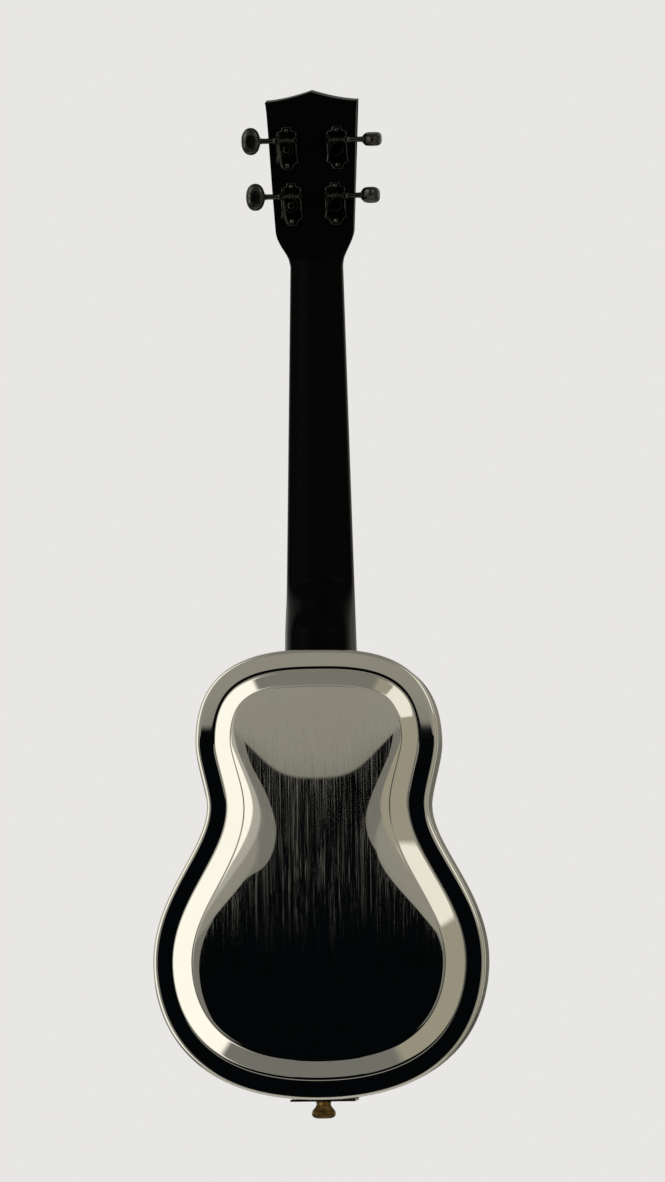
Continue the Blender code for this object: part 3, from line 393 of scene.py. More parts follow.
def reckon(tree, operation, *values):
    """The result of a math node."""
    kind = "ShaderNodeMath"
    return add(tree, kind, dict(enumerate(values)), operation=operation).outputs[0]


def between(tree, value, low, high, to_low=0.0, to_high=1.0, ease="SMOOTHSTEP"):
    """A value's way from low to high, eased."""
    inputs = {"Value": value, "From Min": low, "From Max": high, "To Min": to_low, "To Max": to_high}
    return add(tree, "ShaderNodeMapRange", inputs, interpolation_type=ease).outputs["Result"]


def blended(tree, share, a, b):
    """Two colours mixed by a share that changes over the surface."""
    return add(tree, "ShaderNodeMix", {0: share, 6: a, 7: b}, data_type="RGBA").outputs[2]


def group(name, inputs, outputs):
    """An empty shader group with named float inputs and outputs of the named kinds."""
    tree = bpy.data.node_groups.new(name, "ShaderNodeTree")
    for label, default in inputs.items():
        kind = "NodeSocketVector" if default is None else "NodeSocketFloat"
        socket = tree.interface.new_socket(label, in_out="INPUT", socket_type=kind)
        if default is not None:
            socket.default_value = default
    for label, kind in outputs.items():
        tree.interface.new_socket(label, in_out="OUTPUT", socket_type=kind)
    return tree, tree.nodes.new("NodeGroupInput").outputs, tree.nodes.new("NodeGroupOutput").inputs


def streaks_group():
    """Fine lines along the surface's long way, as a brush or a drawn grain leaves them."""
    inputs = {"Vector": None, "Across": 900.0, "Along": 9.0, "Sparse": 0.5, "Soft": 0.14}
    tree, given, result = group("fine_streaks", inputs, {"Streaks": "NodeSocketFloat"})
    inputs = {"X": given["Across"], "Y": given["Across"], "Z": given["Along"]}
    scale = add(tree, "ShaderNodeCombineXYZ", inputs)
    drawn = add(tree, "ShaderNodeVectorMath", {0: given["Vector"], 1: scale.outputs[0]}, operation="MULTIPLY")
    inputs = {"Vector": drawn.outputs[0], "Scale": 1.0, "Detail": 3.0, "Roughness": 0.6}
    noise = add(tree, "ShaderNodeTexNoise", inputs)
    top = reckon(tree, "ADD", given["Sparse"], given["Soft"])
    tree.links.new(between(tree, noise.outputs["Fac"], given["Sparse"], top), result["Streaks"])
    return tree


def mottle_group():
    """Soft uneven patches, such as handling, polish and patina leave."""
    inputs = {"Vector": None, "Scale": 60.0, "Low": 0.0, "High": 1.0}
    tree, given, result = group("mottle", inputs, {"Value": "NodeSocketFloat"})
    inputs = {"Vector": given["Vector"], "Scale": given["Scale"], "Detail": 5.0}
    noise = add(tree, "ShaderNodeTexNoise", inputs)
    value = between(tree, noise.outputs["Fac"], 0.3, 0.7, given["Low"], given["High"], "LINEAR")
    tree.links.new(value, result["Value"])
    return tree


def specks_group():
    """Small scattered spots: dust nibs, pits and pores."""
    inputs = {"Vector": None, "Scale": 500.0, "Size": 0.12}
    tree, given, result = group("specks", inputs, {"Specks": "NodeSocketFloat"})
    cells = add(tree, "ShaderNodeTexVoronoi", {"Vector": given["Vector"], "Scale": given["Scale"]})
    spots = between(tree, cells.outputs["Distance"], 0.0, given["Size"], 1.0, 0.0)
    tree.links.new(spots, result["Specks"])
    return tree


STREAKS, MOTTLE, SPECKS = streaks_group(), mottle_group(), specks_group()


class Finish:
    """A material under construction: its tree, its shader and the surface's own place."""

    def __init__(self, name, colour, metallic, roughness, **sockets):
        self.material = bpy.data.materials.new(name)
        self.material.use_nodes = True
        self.tree = self.material.node_tree
        self.shader = self.tree.nodes["Principled BSDF"]
        self.place = add(self.tree, "ShaderNodeTexCoord").outputs["Object"]
        self.colour = (*colour, 1.0)
        self.shader.inputs["Base Color"].default_value = self.colour
        self.shader.inputs["Metallic"].default_value = metallic
        self.shader.inputs["Roughness"].default_value = roughness
        for label, value in sockets.items():
            self.shader.inputs[label.replace("_", " ")].default_value = value

    def use(self, tree, **inputs):
        """The output of a shared group placed in this material."""
        inputs = {label.replace("_", " "): value for label, value in inputs.items()}
        inputs.setdefault("Vector", self.place)
        node = self.tree.nodes.new("ShaderNodeGroup")
        node.node_tree = tree
        for label, value in inputs.items():
            if isinstance(value, bpy.types.NodeSocket):
                self.tree.links.new(value, node.inputs[label])
            else:
                node.inputs[label].default_value = value
        return node.outputs[0]

    def feed(self, label, socket):
        self.tree.links.new(socket, self.shader.inputs[label])

    def tint(self, share, other):
        """Mixes the base colour towards another one."""
        source = self.shader.inputs["Base Color"]
        start = source.links[0].from_socket if source.links else self.colour
        self.feed("Base Color", blended(self.tree, share, start, (*other, 1.0)))

    def bump(self, height, depth, strength=1.0):
        """Raises the surface by a height from 0 to 1, over a depth in millimetres."""
        inputs = {"Height": height, "Distance": depth * MM, "Strength": strength}
        source = self.shader.inputs["Normal"]
        if source.links:
            inputs["Normal"] = source.links[0].from_socket
        self.feed("Normal", add(self.tree, "ShaderNodeBump", inputs).outputs[0])


# ---- Finishes -----------------------------------------------------------------------------------


def brushed_nickel():
    """The back: a mirror whose panel has fine upright polishing lines that fade towards the tail."""
    finish = Finish("brushed_nickel", (0.86, 0.85, 0.80), 1.0, 0.04)
    fine = finish.use(STREAKS, Across=6500.0, Along=11.0, Sparse=0.565, Soft=0.05)
    wide = finish.use(STREAKS, Across=900.0, Along=7.0, Sparse=0.40, Soft=0.22)
    parts = add(finish.tree, "ShaderNodeSeparateXYZ", {0: finish.place}).outputs
    up = between(finish.tree, parts["Z"], (TAIL_EDGE + 70) * MM, (TAIL_EDGE + 180) * MM, 0.05, 1.0)
    panel = between(finish.tree, parts["Y"], (FACE + 2.6) * MM, (FACE + 3.6) * MM)
    lines = reckon(finish.tree, "MULTIPLY", fine, reckon(finish.tree, "MULTIPLY_ADD", wide, 0.75, 0.25))
    haze = finish.use(MOTTLE, Scale=26.0, Low=0.004, High=0.014)
    depth = reckon(finish.tree, "MULTIPLY", reckon(finish.tree, "MULTIPLY", up, panel), 0.30)
    finish.feed("Roughness", reckon(finish.tree, "MULTIPLY_ADD", lines, depth, haze))
    finish.tint(finish.use(MOTTLE, Scale=14.0, Low=0.0, High=0.5), (0.78, 0.76, 0.69))
    return finish.material


def polished_nickel():
    finish = Finish("polished_nickel", (0.84, 0.83, 0.77), 1.0, 0.06)
    wipes = finish.use(STREAKS, Across=700.0, Along=60.0, Sparse=0.56)
    haze = finish.use(MOTTLE, Scale=40.0, Low=0.03, High=0.09)
    finish.feed("Roughness", reckon(finish.tree, "MULTIPLY_ADD", wipes, 0.10, haze))
    finish.tint(finish.use(MOTTLE, Scale=9.0, Low=0.0, High=0.6), (0.74, 0.71, 0.62))
    finish.tint(finish.use(SPECKS, Scale=420.0, Size=0.05), (0.40, 0.37, 0.30))
    return finish.material


def spun_aluminium():
    """Turned metal: fine rings about the cone's axis."""
    finish = Finish("spun_aluminium", (0.82, 0.82, 0.83), 1.0, 0.26)
    inputs = {"Vector": finish.place, "Location": (0.0, 0.0, -SADDLE_Z * MM)}
    centred = add(finish.tree, "ShaderNodeMapping", inputs, vector_type="POINT").outputs[0]
    parts = add(finish.tree, "ShaderNodeSeparateXYZ", {0: centred}).outputs
    flat = add(finish.tree, "ShaderNodeCombineXYZ", {"X": parts["X"], "Y": parts["Z"]}).outputs[0]
    radius = add(finish.tree, "ShaderNodeVectorMath", {0: flat}, operation="LENGTH").outputs["Value"]
    ringed = add(finish.tree, "ShaderNodeCombineXYZ", {"X": reckon(finish.tree, "MULTIPLY", radius, 1800.0)})
    noise = add(finish.tree, "ShaderNodeTexNoise", {"Vector": ringed.outputs[0], "Scale": 1.0, "Detail": 4.0})
    finish.feed("Roughness", between(finish.tree, noise.outputs["Fac"], 0.3, 0.7, 0.16, 0.38, "LINEAR"))
    finish.bump(noise.outputs["Fac"], 0.05, 0.7)
    finish.tint(finish.use(MOTTLE, Scale=30.0, Low=0.0, High=0.5), (0.66, 0.66, 0.66))
    return finish.material


def black_lacquer():
    finish = Finish("black_lacquer", (0.0022, 0.0022, 0.0024), 0.0, 0.10, Specular_IOR_Level=0.02)
    finish.feed("Roughness", finish.use(MOTTLE, Scale=35.0, Low=0.07, High=0.16))
    finish.tint(finish.use(SPECKS, Scale=260.0, Size=0.035), (0.012, 0.012, 0.011))
    finish.bump(finish.use(MOTTLE, Scale=190.0, Low=0.0, High=1.0), 0.010, 0.35)
    return finish.material


def wood(name, light, dark, rough, across, along, pores, coat=0.0):
    """Straight-grained wood with pores drawn out along the neck."""
    finish = Finish(name, light, 0.0, 0.5, Coat_Weight=coat, Coat_Roughness=0.12)
    grain = finish.use(STREAKS, Across=across, Along=along, Sparse=0.34)
    figure = finish.use(MOTTLE, Scale=22.0, Low=0.0, High=0.5)
    finish.tint(reckon(finish.tree, "MULTIPLY", grain, 0.8), dark)
    finish.tint(figure, tuple(mix(a, b, 0.5) for a, b in zip(light, dark)))
    pore = finish.use(STREAKS, Across=2.6 * across, Along=2.2 * along, Sparse=0.60)
    finish.tint(reckon(finish.tree, "MULTIPLY", pore, pores), tuple(0.4 * c for c in dark))
    finish.feed("Roughness", between(finish.tree, grain, 0.0, 1.0, rough - 0.08, rough + 0.12))
    finish.bump(pore, -0.08, 0.6)
    return finish.material


def nickel_silver():
    finish = Finish("nickel_silver", (0.76, 0.74, 0.68), 1.0, 0.18)
    worn = finish.use(STREAKS, Across=900.0, Along=2500.0, Sparse=0.5)
    finish.feed("Roughness", reckon(finish.tree, "MULTIPLY_ADD", worn, 0.16, 0.12))
    finish.tint(finish.use(MOTTLE, Scale=160.0, Low=0.0, High=0.6), (0.60, 0.56, 0.47))
    return finish.material


def bone():
    finish = Finish("bone", (0.80, 0.75, 0.62), 0.0, 0.34, Subsurface_Weight=0.12, Subsurface_Scale=0.002)
    finish.tint(finish.use(STREAKS, Across=500.0, Along=500.0, Sparse=0.44), (0.66, 0.58, 0.42))
    finish.feed("Roughness", finish.use(MOTTLE, Scale=220.0, Low=0.26, High=0.44))
    finish.bump(finish.use(SPECKS, Scale=1500.0, Size=0.16), -0.02, 0.5)
    return finish.material


def pearl():
    finish = Finish("pearl", (0.82, 0.80, 0.75), 0.0, 0.22, Coat_Weight=0.4)
    clouds = finish.use(MOTTLE, Scale=420.0, Low=0.0, High=1.0)
    finish.tint(clouds, (0.62, 0.66, 0.66))
    finish.feed("Roughness", finish.use(MOTTLE, Scale=260.0, Low=0.16, High=0.34))
    return finish.material


def black_nickel(name, grain, rough, depth):
    """Smoky dark plating, patchy where fingers have been."""
    finish = Finish(name, (0.11, 0.11, 0.10), 1.0, 0.1)
    patches = finish.use(MOTTLE, Scale=grain, Low=0.0, High=1.0)
    finish.tint(patches, (0.035, 0.035, 0.03))
    finish.feed("Roughness", between(finish.tree, patches, 0.0, 1.0, rough, 2.6 * rough))
    finish.tint(finish.use(SPECKS, Scale=900.0, Size=0.10), (0.16, 0.15, 0.12))
    finish.bump(finish.use(MOTTLE, Scale=1.8 * grain, Low=0.0, High=1.0), depth, 0.6)
    return finish.material


def aged_brass():
    finish = Finish("aged_brass", (0.24, 0.155, 0.05), 1.0, 0.28)
    patina = finish.use(MOTTLE, Scale=150.0, Low=0.0, High=1.0)
    finish.tint(patina, (0.07, 0.045, 0.016))
    finish.feed("Roughness", between(finish.tree, patina, 0.0, 1.0, 0.20, 0.50))
    finish.tint(finish.use(SPECKS, Scale=700.0, Size=0.09), (0.05, 0.04, 0.03))
    finish.bump(finish.use(MOTTLE, Scale=600.0, Low=0.0, High=1.0), 0.02, 0.4)
    return finish.material


def clear_nylon():
    finish = Finish("clear_nylon", (0.80, 0.79, 0.72), 0.0, 0.22, IOR=1.53, Subsurface_Weight=0.2)
    finish.feed("Roughness", finish.use(MOTTLE, Scale=300.0, Low=0.16, High=0.30))
    finish.tint(finish.use(MOTTLE, Scale=90.0, Low=0.0, High=0.5), (0.70, 0.66, 0.54))
    return finish.material


def wound_string():
    """A nylon core under a fine silver wrap, whose turns follow the string's own map."""
    finish = Finish("wound_string", (0.72, 0.70, 0.64), 1.0, 0.30)
    along = add(finish.tree, "ShaderNodeUVMap", uv_map="wrap").outputs[0]
    parts = add(finish.tree, "ShaderNodeSeparateXYZ", {0: along}).outputs
    phase = reckon(finish.tree, "ADD", parts["X"], parts["Y"])
    wave = reckon(finish.tree, "SINE", reckon(finish.tree, "MULTIPLY", phase, math.pi))
    wrap = reckon(finish.tree, "ABSOLUTE", wave)
    # darker in the grooves between the wrap's turns: painted shade
    finish.tint(between(finish.tree, wrap, 0.45, 0.0), (0.16, 0.14, 0.11))
    finish.feed("Roughness", finish.use(MOTTLE, Scale=260.0, Low=0.24, High=0.42))
    finish.bump(wrap, 0.09, 0.9)
    return finish.material


FINISHES = {
    "back": brushed_nickel(),
    "nickel": polished_nickel(),
    "cone": spun_aluminium(),
    "lacquer": black_lacquer(),
    "board": wood("dark_fretboard", (0.060, 0.040, 0.027), (0.016, 0.010, 0.007), 0.46, 520.0, 26.0, 0.8),
    "maple": wood("maple", (0.66, 0.47, 0.27), (0.48, 0.31, 0.16), 0.42, 240.0, 9.0, 0.25, 0.3),
    "frets": nickel_silver(),
    "bone": bone(),
    "pearl": pearl(),
    "tuners": black_nickel("black_nickel", 190.0, 0.05, 0.006),
    "knobs": black_nickel("worn_black_nickel", 330.0, 0.10, 0.07),
    "brass": aged_brass(),
    "nylon": clear_nylon(),
    "wound": wound_string(),
}


# ---- Geometry node trees for what repeats --------------------------------------------------------


def repeat_tree(name, inputs):
    """An empty geometry tree with its geometry sockets and the named inputs."""
    tree = bpy.data.node_groups.new(name, "GeometryNodeTree")
    tree.interface.new_socket("Geometry", in_out="INPUT", socket_type="NodeSocketGeometry")
    for label, (kind, default) in inputs.items():
        socket = tree.interface.new_socket(label, in_out="INPUT", socket_type=f"NodeSocket{kind}")
        if default is not None:
            socket.default_value = default
    tree.interface.new_socket("Geometry", in_out="OUTPUT", socket_type="NodeSocketGeometry")
    return tree, tree.nodes.new("NodeGroupInput").outputs, tree.nodes.new("NodeGroupOutput").inputs


def finish_tree(tree, instances, material, result):
    """Turns instances into mesh and gives them their material, as the last step of a tree."""
    real = add(tree, "GeometryNodeRealizeInstances", {0: instances}).outputs[0]
    coated = add(tree, "GeometryNodeSetMaterial", {"Geometry": real, "Material": material}).outputs[0]
    tree.links.new(coated, result["Geometry"])


def ring_tree():
    """Copies of the given shape turned about the Z axis through the origin."""
    inputs = {"Count": ("Int", 8), "First Angle": ("Float", 0.0), "Finish": ("Material", None)}
    tree, given, result = repeat_tree("copies_round_an_axis", inputs)
    spots = add(tree, "GeometryNodePoints", {"Count": given["Count"]}).outputs[0]
    index = add(tree, "GeometryNodeInputIndex").outputs[0]
    step = reckon(tree, "DIVIDE", TURN, given["Count"])
    angle = reckon(tree, "MULTIPLY_ADD", index, step, given["First Angle"])
    turn = add(tree, "ShaderNodeCombineXYZ", {"Z": angle}).outputs[0]
    inputs = {"Points": spots, "Instance": given["Geometry"], "Rotation": turn}
    copies = add(tree, "GeometryNodeInstanceOnPoints", inputs).outputs[0]
    finish_tree(tree, copies, given["Finish"], result)
    return tree


def spots_tree():
    """A small part set on each of the given points, facing one way, its own spin left to chance."""
    inputs = {"Part": ("Object", None), "Facing": ("Vector", (0.0, 0.0, 0.0)), "Spin": ("Float", TURN)}
    inputs |= {"Seed": ("Int", 4), "Finish": ("Material", None)}
    tree, given, result = repeat_tree("parts_on_spots", inputs)
    part = add(tree, "GeometryNodeObjectInfo", {"Object": given["Part"]}).outputs["Geometry"]
    inputs = {"Points": given["Geometry"], "Instance": part, "Rotation": given["Facing"]}
    copies = add(tree, "GeometryNodeInstanceOnPoints", inputs).outputs[0]
    chance = add(tree, "FunctionNodeRandomValue", {"Seed": given["Seed"]}, data_type="FLOAT")
    tree.links.new(given["Spin"], chance.inputs[3])
    turn = add(tree, "ShaderNodeCombineXYZ", {"Z": chance.outputs[1]}).outputs[0]
    spun = add(tree, "GeometryNodeRotateInstances", {"Instances": copies, "Rotation": turn}).outputs[0]
    finish_tree(tree, spun, given["Finish"], result)
    return tree


def fret_tree():
    """Frets by the rule of the twelfth root of two, each as wide as the tapered board under it."""
    lengths = {"Scale Length": SCALE_LENGTH, "Saddle Height": SADDLE_Z, "Joint Height": NECK_JOINT}
    lengths |= {"Nut Height": NUT_LOW.z, "Joint Width": HEEL_WIDTH, "Nut Width": NUT_WIDTH, "End Gap": 0.4}
    inputs = {label: ("Float", value * MM) for label, value in lengths.items()}
    inputs |= {"Count": ("Int", FRETS), "Level": ("Float", 0.0), "Finish": ("Material", None)}
    tree, given, result = repeat_tree("fret_run", inputs)
    spots = add(tree, "GeometryNodePoints", {"Count": given["Count"]}).outputs[0]
    number = reckon(tree, "ADD", add(tree, "GeometryNodeInputIndex").outputs[0], 1.0)
    share = reckon(tree, "POWER", 2.0, reckon(tree, "DIVIDE", number, -12.0))
    height = reckon(tree, "MULTIPLY_ADD", given["Scale Length"], share, given["Saddle Height"])
    run = reckon(tree, "SUBTRACT", given["Nut Height"], given["Joint Height"])
    along = reckon(tree, "DIVIDE", reckon(tree, "SUBTRACT", height, given["Joint Height"]), run)
    taper = reckon(tree, "SUBTRACT", given["Nut Width"], given["Joint Width"])
    width = reckon(tree, "MULTIPLY_ADD", along, taper, given["Joint Width"])
    reach = reckon(tree, "SUBTRACT", reckon(tree, "MULTIPLY", width, 0.5), given["End Gap"])
    spot = add(tree, "ShaderNodeCombineXYZ", {"Y": given["Level"], "Z": height}).outputs[0]
    stretch = add(tree, "ShaderNodeCombineXYZ", {"X": reach, "Y": 1.0, "Z": 1.0}).outputs[0]
    put = add(tree, "GeometryNodeSetPosition", {"Geometry": spots, "Position": spot}).outputs[0]
    inputs = {"Points": put, "Instance": given["Geometry"], "Scale": stretch}
    copies = add(tree, "GeometryNodeInstanceOnPoints", inputs).outputs[0]
    finish_tree(tree, copies, given["Finish"], result)
    return tree


RING_TREE, SPOTS_TREE, FRET_TREE = ring_tree(), spots_tree(), fret_tree()


def grown(piece, tree, angle=32, **values):
    """Runs a geometry tree on a piece with the given inputs and leaves a plain mesh."""
    step = piece.modifiers.new(tree.name, "NODES")
    step.node_group = tree
    wanted = {label.replace("_", " "): value for label, value in values.items()}
    for item in tree.interface.items_tree:
        if item.in_out == "INPUT" and item.name in wanted:
            step[item.identifier] = wanted[item.name]
    return plain_mesh(piece, angle)


def set_on_spots(name, spots, part, facing, finish, spin=TURN, seed=4):
    """A small part on each spot, in millimetres, as one plain mesh; the part object is used up."""
    piece = made(name, (spots, []))
    grown(piece, SPOTS_TREE, Part=part, Facing=tuple(facing), Spin=spin, Seed=seed, Finish=finish)
    bpy.data.objects.remove(part)
    return piece


def screw_head(radius, height, slot=0.32):
    """A domed slotted screw head standing on the XY plane."""
    profile = [(radius, -0.4), (radius, 0.15 * height)]
    profile += [(radius * math.cos(a), height * (0.15 + 0.85 * math.sin(a))) for a in (0.35, 0.7, 1.05, 1.35)]
    profile.append((0.02 * radius, height))
    screw = made("screw", turned(profile, upright, 28))
    long, wide = 1.3 * radius, slot * radius / 2
    return cut(screw, block((-long, -wide, 0.45 * height), (long, wide, 2 * height)), angle=25)


FACING_FRONT = Euler((math.pi / 2, 0, 0))  # turns +Z to -Y


# ---- Body ---------------------------------------------------------------------------------------


def half_outline(steps=44):
    """Right half of the body's outline, from the neck joint down to the tail, as (x, height)."""
    upper_z, waist_z, lower_z = (share * BODY_LENGTH for share in (UPPER_BOUT_AT, WAIST_AT, LOWER_BOUT_AT))
    upper, waist, lower = (UPPER_BOUT / 2, upper_z), (WAIST / 2, waist_z), (LOWER_BOUT / 2, lower_z)
    top, tail = (0.0, BODY_LENGTH), (0.0, 0.0)
    crown, chest, hip = BODY_LENGTH - upper_z, upper_z - waist_z, waist_z - lower_z
    points = bezier(top, (0.36 * upper[0], BODY_LENGTH), (upper[0], upper_z + 0.99 * crown), upper, steps)
    into_waist, out_of_waist = (waist[0], waist_z + 0.24 * chest), (waist[0], waist_z - 0.27 * hip)
    points += bezier(upper, (upper[0], upper_z - 0.30 * chest), into_waist, waist, steps // 2)
    points += bezier(waist, out_of_waist, (lower[0], lower_z + 0.44 * hip), lower, steps)
    points += bezier(lower, (lower[0], 0.67 * lower_z), (0.87 * lower[0], 0.0), tail, steps)
    return points + [tail]


HALF = half_outline()
WHOLE = HALF + [(-x, z) for x, z in reversed(HALF[1:-1])]


def body_outline(margin, share=0.0):
    """The body's outline moved inwards by a margin and a share of the stamped step's width."""
    moved = []
    for i, (x, z) in enumerate(WHOLE):
        inset = margin + share * slope_width(z)
        before, after = WHOLE[i - 1], WHOLE[(i + 1) % len(WHOLE)]
        along = Vector((after[0] - before[0], after[1] - before[1])).normalized()
        moved.append((x + along.y * inset, z - along.x * inset + TAIL_EDGE))
    return moved


def rolled_edge():
    """A plate's rim as (inset, level) steps, from inside the lip round to the outer face."""
    lip_end = FACE - SHEET - LIP_DEPTH
    steps = [(0.7 * SHEET, lip_end), (0.3, lip_end), (0.0, lip_end + 0.3)]
    for i in range(9):
        angle = math.pi / 2 * i / 8
        steps.append((EDGE_ROUND * (1 - math.cos(angle)), FACE - EDGE_ROUND * (1 - math.sin(angle))))
    return steps


def slope_width(height):
    """Width of the back's stamped step at a height above the tail: narrower round the upper bout."""
    share = smooth_step((height - 0.5 * BODY_LENGTH) / (0.35 * BODY_LENGTH))
    return mix(SLOPE_WIDTH_TAIL, SLOPE_WIDTH_TOP, share)


def waist_dip(z):
    """How much lower the panel's edge lies where the waist squeezes it."""
    above = z - TAIL_EDGE - WAIST_AT * BODY_LENGTH + 6
    return WAIST_DIP * math.exp(-((above / (DIP_UP if above > 0 else DIP_DOWN)) ** 2))


def pressed_slope(way, width):
    """Share of the stamped step's rise at a way over its width, its corners softly rounded."""

    def ramp(distance):
        if abs(distance) < CREASE:
            return (distance + CREASE) ** 2 / (4 * CREASE)
        return max(distance, 0.0)

    return (ramp(way) - ramp(way - width)) / width


def draw_line(way):
    """The fine groove that the stamping die leaves beside a corner."""
    return -0.032 * math.exp(-((way / 0.42) ** 2))


def panel_rise(x, z, away):
    """Rise of the inner panel over the flat margin, that far from the panel's edge."""
    dome = DOME_RISE * math.exp(-(abs(x / DOME_HALF_WIDTH) ** 3) - ((z - DOME_Z) / DOME_HALF_LENGTH) ** 2)
    soft = 1 - math.exp(-away / PILLOW_RUN)
    return SLOPE_RISE + (PILLOW_RISE + dome) * soft - waist_dip(z) * math.exp(-away / DIP_RUN)


def back_sheet():
    """The back as one pressed sheet: rolled edge, flat margin, stamped step and domed panel."""
    rings = [[(x, level, z) for x, z in body_outline(inset)] for inset, level in rolled_edge()]
    rim_count = len(rings)
    for i in range(1, 6):
        margin = mix(EDGE_ROUND, MARGIN_WIDTH - 2 * CREASE, i / 6)
        rings.append([(x, FACE, z) for x, z in body_outline(margin)])
    corner = [2 * CREASE * (i / 8 - 1) for i in range(17)]
    steps = [(way, 0.0) for way in corner] + [(0.0, i / 6) for i in range(2, 5)]
    steps += [(way, 1.0) for way in corner[:13]]
    for way, share in steps:
        ring = []
        for (x, z), (_, height) in zip(body_outline(MARGIN_WIDTH + way, share), WHOLE):
            width = slope_width(height)
            here = way + share * width
            rise = (SLOPE_RISE - waist_dip(z)) * pressed_slope(here, width)
            ring.append((x, FACE + rise + draw_line(here + 0.9) + draw_line(here - width - 0.7), z))
        rings.append(ring)
    edge = [(x, z) for x, _, z in rings[-1]]
    low_z, high_z = min(z for _, z in edge), max(z for _, z in edge)
    spine_low, spine_high = mix(low_z, high_z, 0.28), mix(low_z, high_z, 0.62)
    ring_count = 52
    for i in range(1, ring_count + 1):
        t = (i / ring_count) ** 1.3
        ring = []
        for x, z in edge:
            spine = mix(spine_low, spine_high, (z - low_z) / (high_z - low_z))
            away = t * math.hypot(x, z - spine)
            across, here = x * (1 - t), mix(z, spine, t)
            ring.append((across, FACE + panel_rise(across, here, away), here))
        rings.append(ring)
    lip_levels = (FACE - SHEET - LIP_DEPTH, FACE - SHEET)
    inner = [[(x, level, z) for x, z in body_outline(SHEET)] for level in lip_levels]
    inner += [[(x, y - SHEET, z) for x, y, z in ring] for ring in rings[rim_count:]]
    shell = skin(inner[::-1] + rings, capped=False)
    piece = made("back_sheet", shell, FINISHES["back"], 40)
    settle(piece, "instrument", "nickel_plate", "back_plate")


def sound_hole(side, grow):
    """Outline of one S-shaped sound hole, grown outwards."""
    samples = 28
    right, left = [], []
    for i in range(samples + 1):
        t = 2 * i / samples - 1
        half = 3.4 * (0.3 + 0.7 * math.sqrt(max(1 - t**8, 0))) * (1 + 0.4 * t**4)
        x = side * (53.0 + 5.0 * math.sin(math.pi * t))
        z = NECK_JOINT - 72.0 + t * 29.0
        right.append((x + half, z))
        left.append((x - half, z))
    return moved_outline(filleted(right + left[::-1], 1.5, 2, True), -grow)


def front_sheet():
    """The front: rolled edge, a flat face with the cone's opening and two sound holes with pressed lips."""

    def openings(opening_radius, grow):
        opening = [(a, SADDLE_Z + b) for a, b in circle(opening_radius, 128)]
        return [opening, sound_hole(1, grow), sound_hole(-1, grow)]

    holes, lips = openings(WELL_RADIUS, 0), openings(WELL_RADIUS + 0.5, 0.8)
    rim = [[(x, -level, z) for x, z in body_outline(inset)] for inset, level in rolled_edge()]
    rim.append([(x, -FACE, z) for x, z in body_outline(2 * EDGE_ROUND)])
    under = -FACE + SHEET
    rim.insert(0, [(x, under + LIP_DEPTH, z) for x, z in body_outline(SHEET)])
    rim.insert(0, [(x, under, z) for x, z in body_outline(SHEET)])
    shapes = [skin(rim, capped=False)]
    for hole, lip in zip(holes, lips):
        dent = 0.35
        levels = [(lip, -FACE), (moved_outline(lip, 0.3), -FACE + 0.25 * dent)]
        levels += [(hole, -FACE + dent), (hole, under)]
        shapes.append(skin([[(x, y, z) for x, z in outline] for outline, y in levels], capped=False))
    work = bmesh.new()
    for outer, inner_loops, level in ((rim[-1], lips, -FACE), (rim[0], holes, under)):
        edges = []
        for loop in [[(x, z) for x, _, z in outer]] + inner_loops:
            verts = [work.verts.new((x, level, z)) for x, z in loop]
            edges += [work.edges.new((a, b)) for a, b in zip(verts, verts[1:] + verts[:1])]
        bmesh.ops.triangle_fill(work, use_beauty=True, use_dissolve=False, edges=edges)
    work.verts.index_update()
    points = [tuple(v.co) for v in work.verts]
    faces = [tuple(v.index for v in face.verts) for face in work.faces]
    work.free()
    piece = made("front_sheet", merged(*shapes, (points, faces)), FINISHES["nickel"], 40)
    settle(piece, "instrument", "nickel_plate", "front_plate")


def stick_box(low, high):
    stick_low, stick_high = extent("neck_stick")
    return block((stick_low.x - GAP, stick_low.y - GAP, low), (stick_high.x + GAP, stick_high.y + GAP, high))


def side_sheet():
    """The side band, with ways for the neck stick and the button's stem."""
    outer, inner = body_outline(BAND_INSET), body_outline(BAND_INSET + SHEET)
    edge = 0.2
    corners = [(outer, -BAND_HALF + edge), (outer, BAND_HALF - edge)]
    eased = body_outline(BAND_INSET + edge)
    corners += [(eased, BAND_HALF), (inner, BAND_HALF), (inner, -BAND_HALF), (eased, -BAND_HALF)]
    band = made("side_sheet", skin([[(x, y, z) for x, z in ring] for ring, y in corners], endless=True))
    band.data.materials.append(FINISHES["nickel"])
    stem = turned([(3.2, TAIL_EDGE - 1), (3.2, TAIL_EDGE + 6)], upright, 32)
    cut(band, stick_box(NECK_JOINT - 6, NECK_JOINT + 1), stem)
    settle(band, "instrument", "nickel_plate", "side_band")


# ---- Cone, cover and bridge ---------------------------------------------------------------------


def spun_cone():
    """The cone: a spun sheet with a flat seat, a bead at the rim and shallow rings up its slope."""
    low = -FACE - extent("resonator_cone")[1].y
    foot, crown = CONE_RADIUS - 6.5, 15.0
    over = [(CONE_RADIUS - 0.2, low + 0.5), (foot + 0.6, low + 0.5)]
    steps = 72
    for i in range(steps + 1):
        share = i / steps
        ripple = 0.16 * math.sin(share * 9 * TURN) * math.sin(math.pi * share)
        over.append((mix(foot, crown + 2.2, share), mix(low + 0.5, CONE_TOP - 1.1, share ** 1.04) + ripple))
    over += [(crown + 0.4, CONE_TOP - 0.15), (crown - 0.3, CONE_TOP), (0.05, CONE_TOP)]
    under = [(radius, level - 0.45) for radius, level in reversed(over)]
    bead = [(CONE_RADIUS, low + 0.1), (CONE_RADIUS, low + 0.4)]
    piece = made("spun_cone", turned(over + under + bead, on_front, 128, True), FINISHES["cone"], 50)
    settle(piece, "instrument", "spun_aluminium", "resonator_cone")


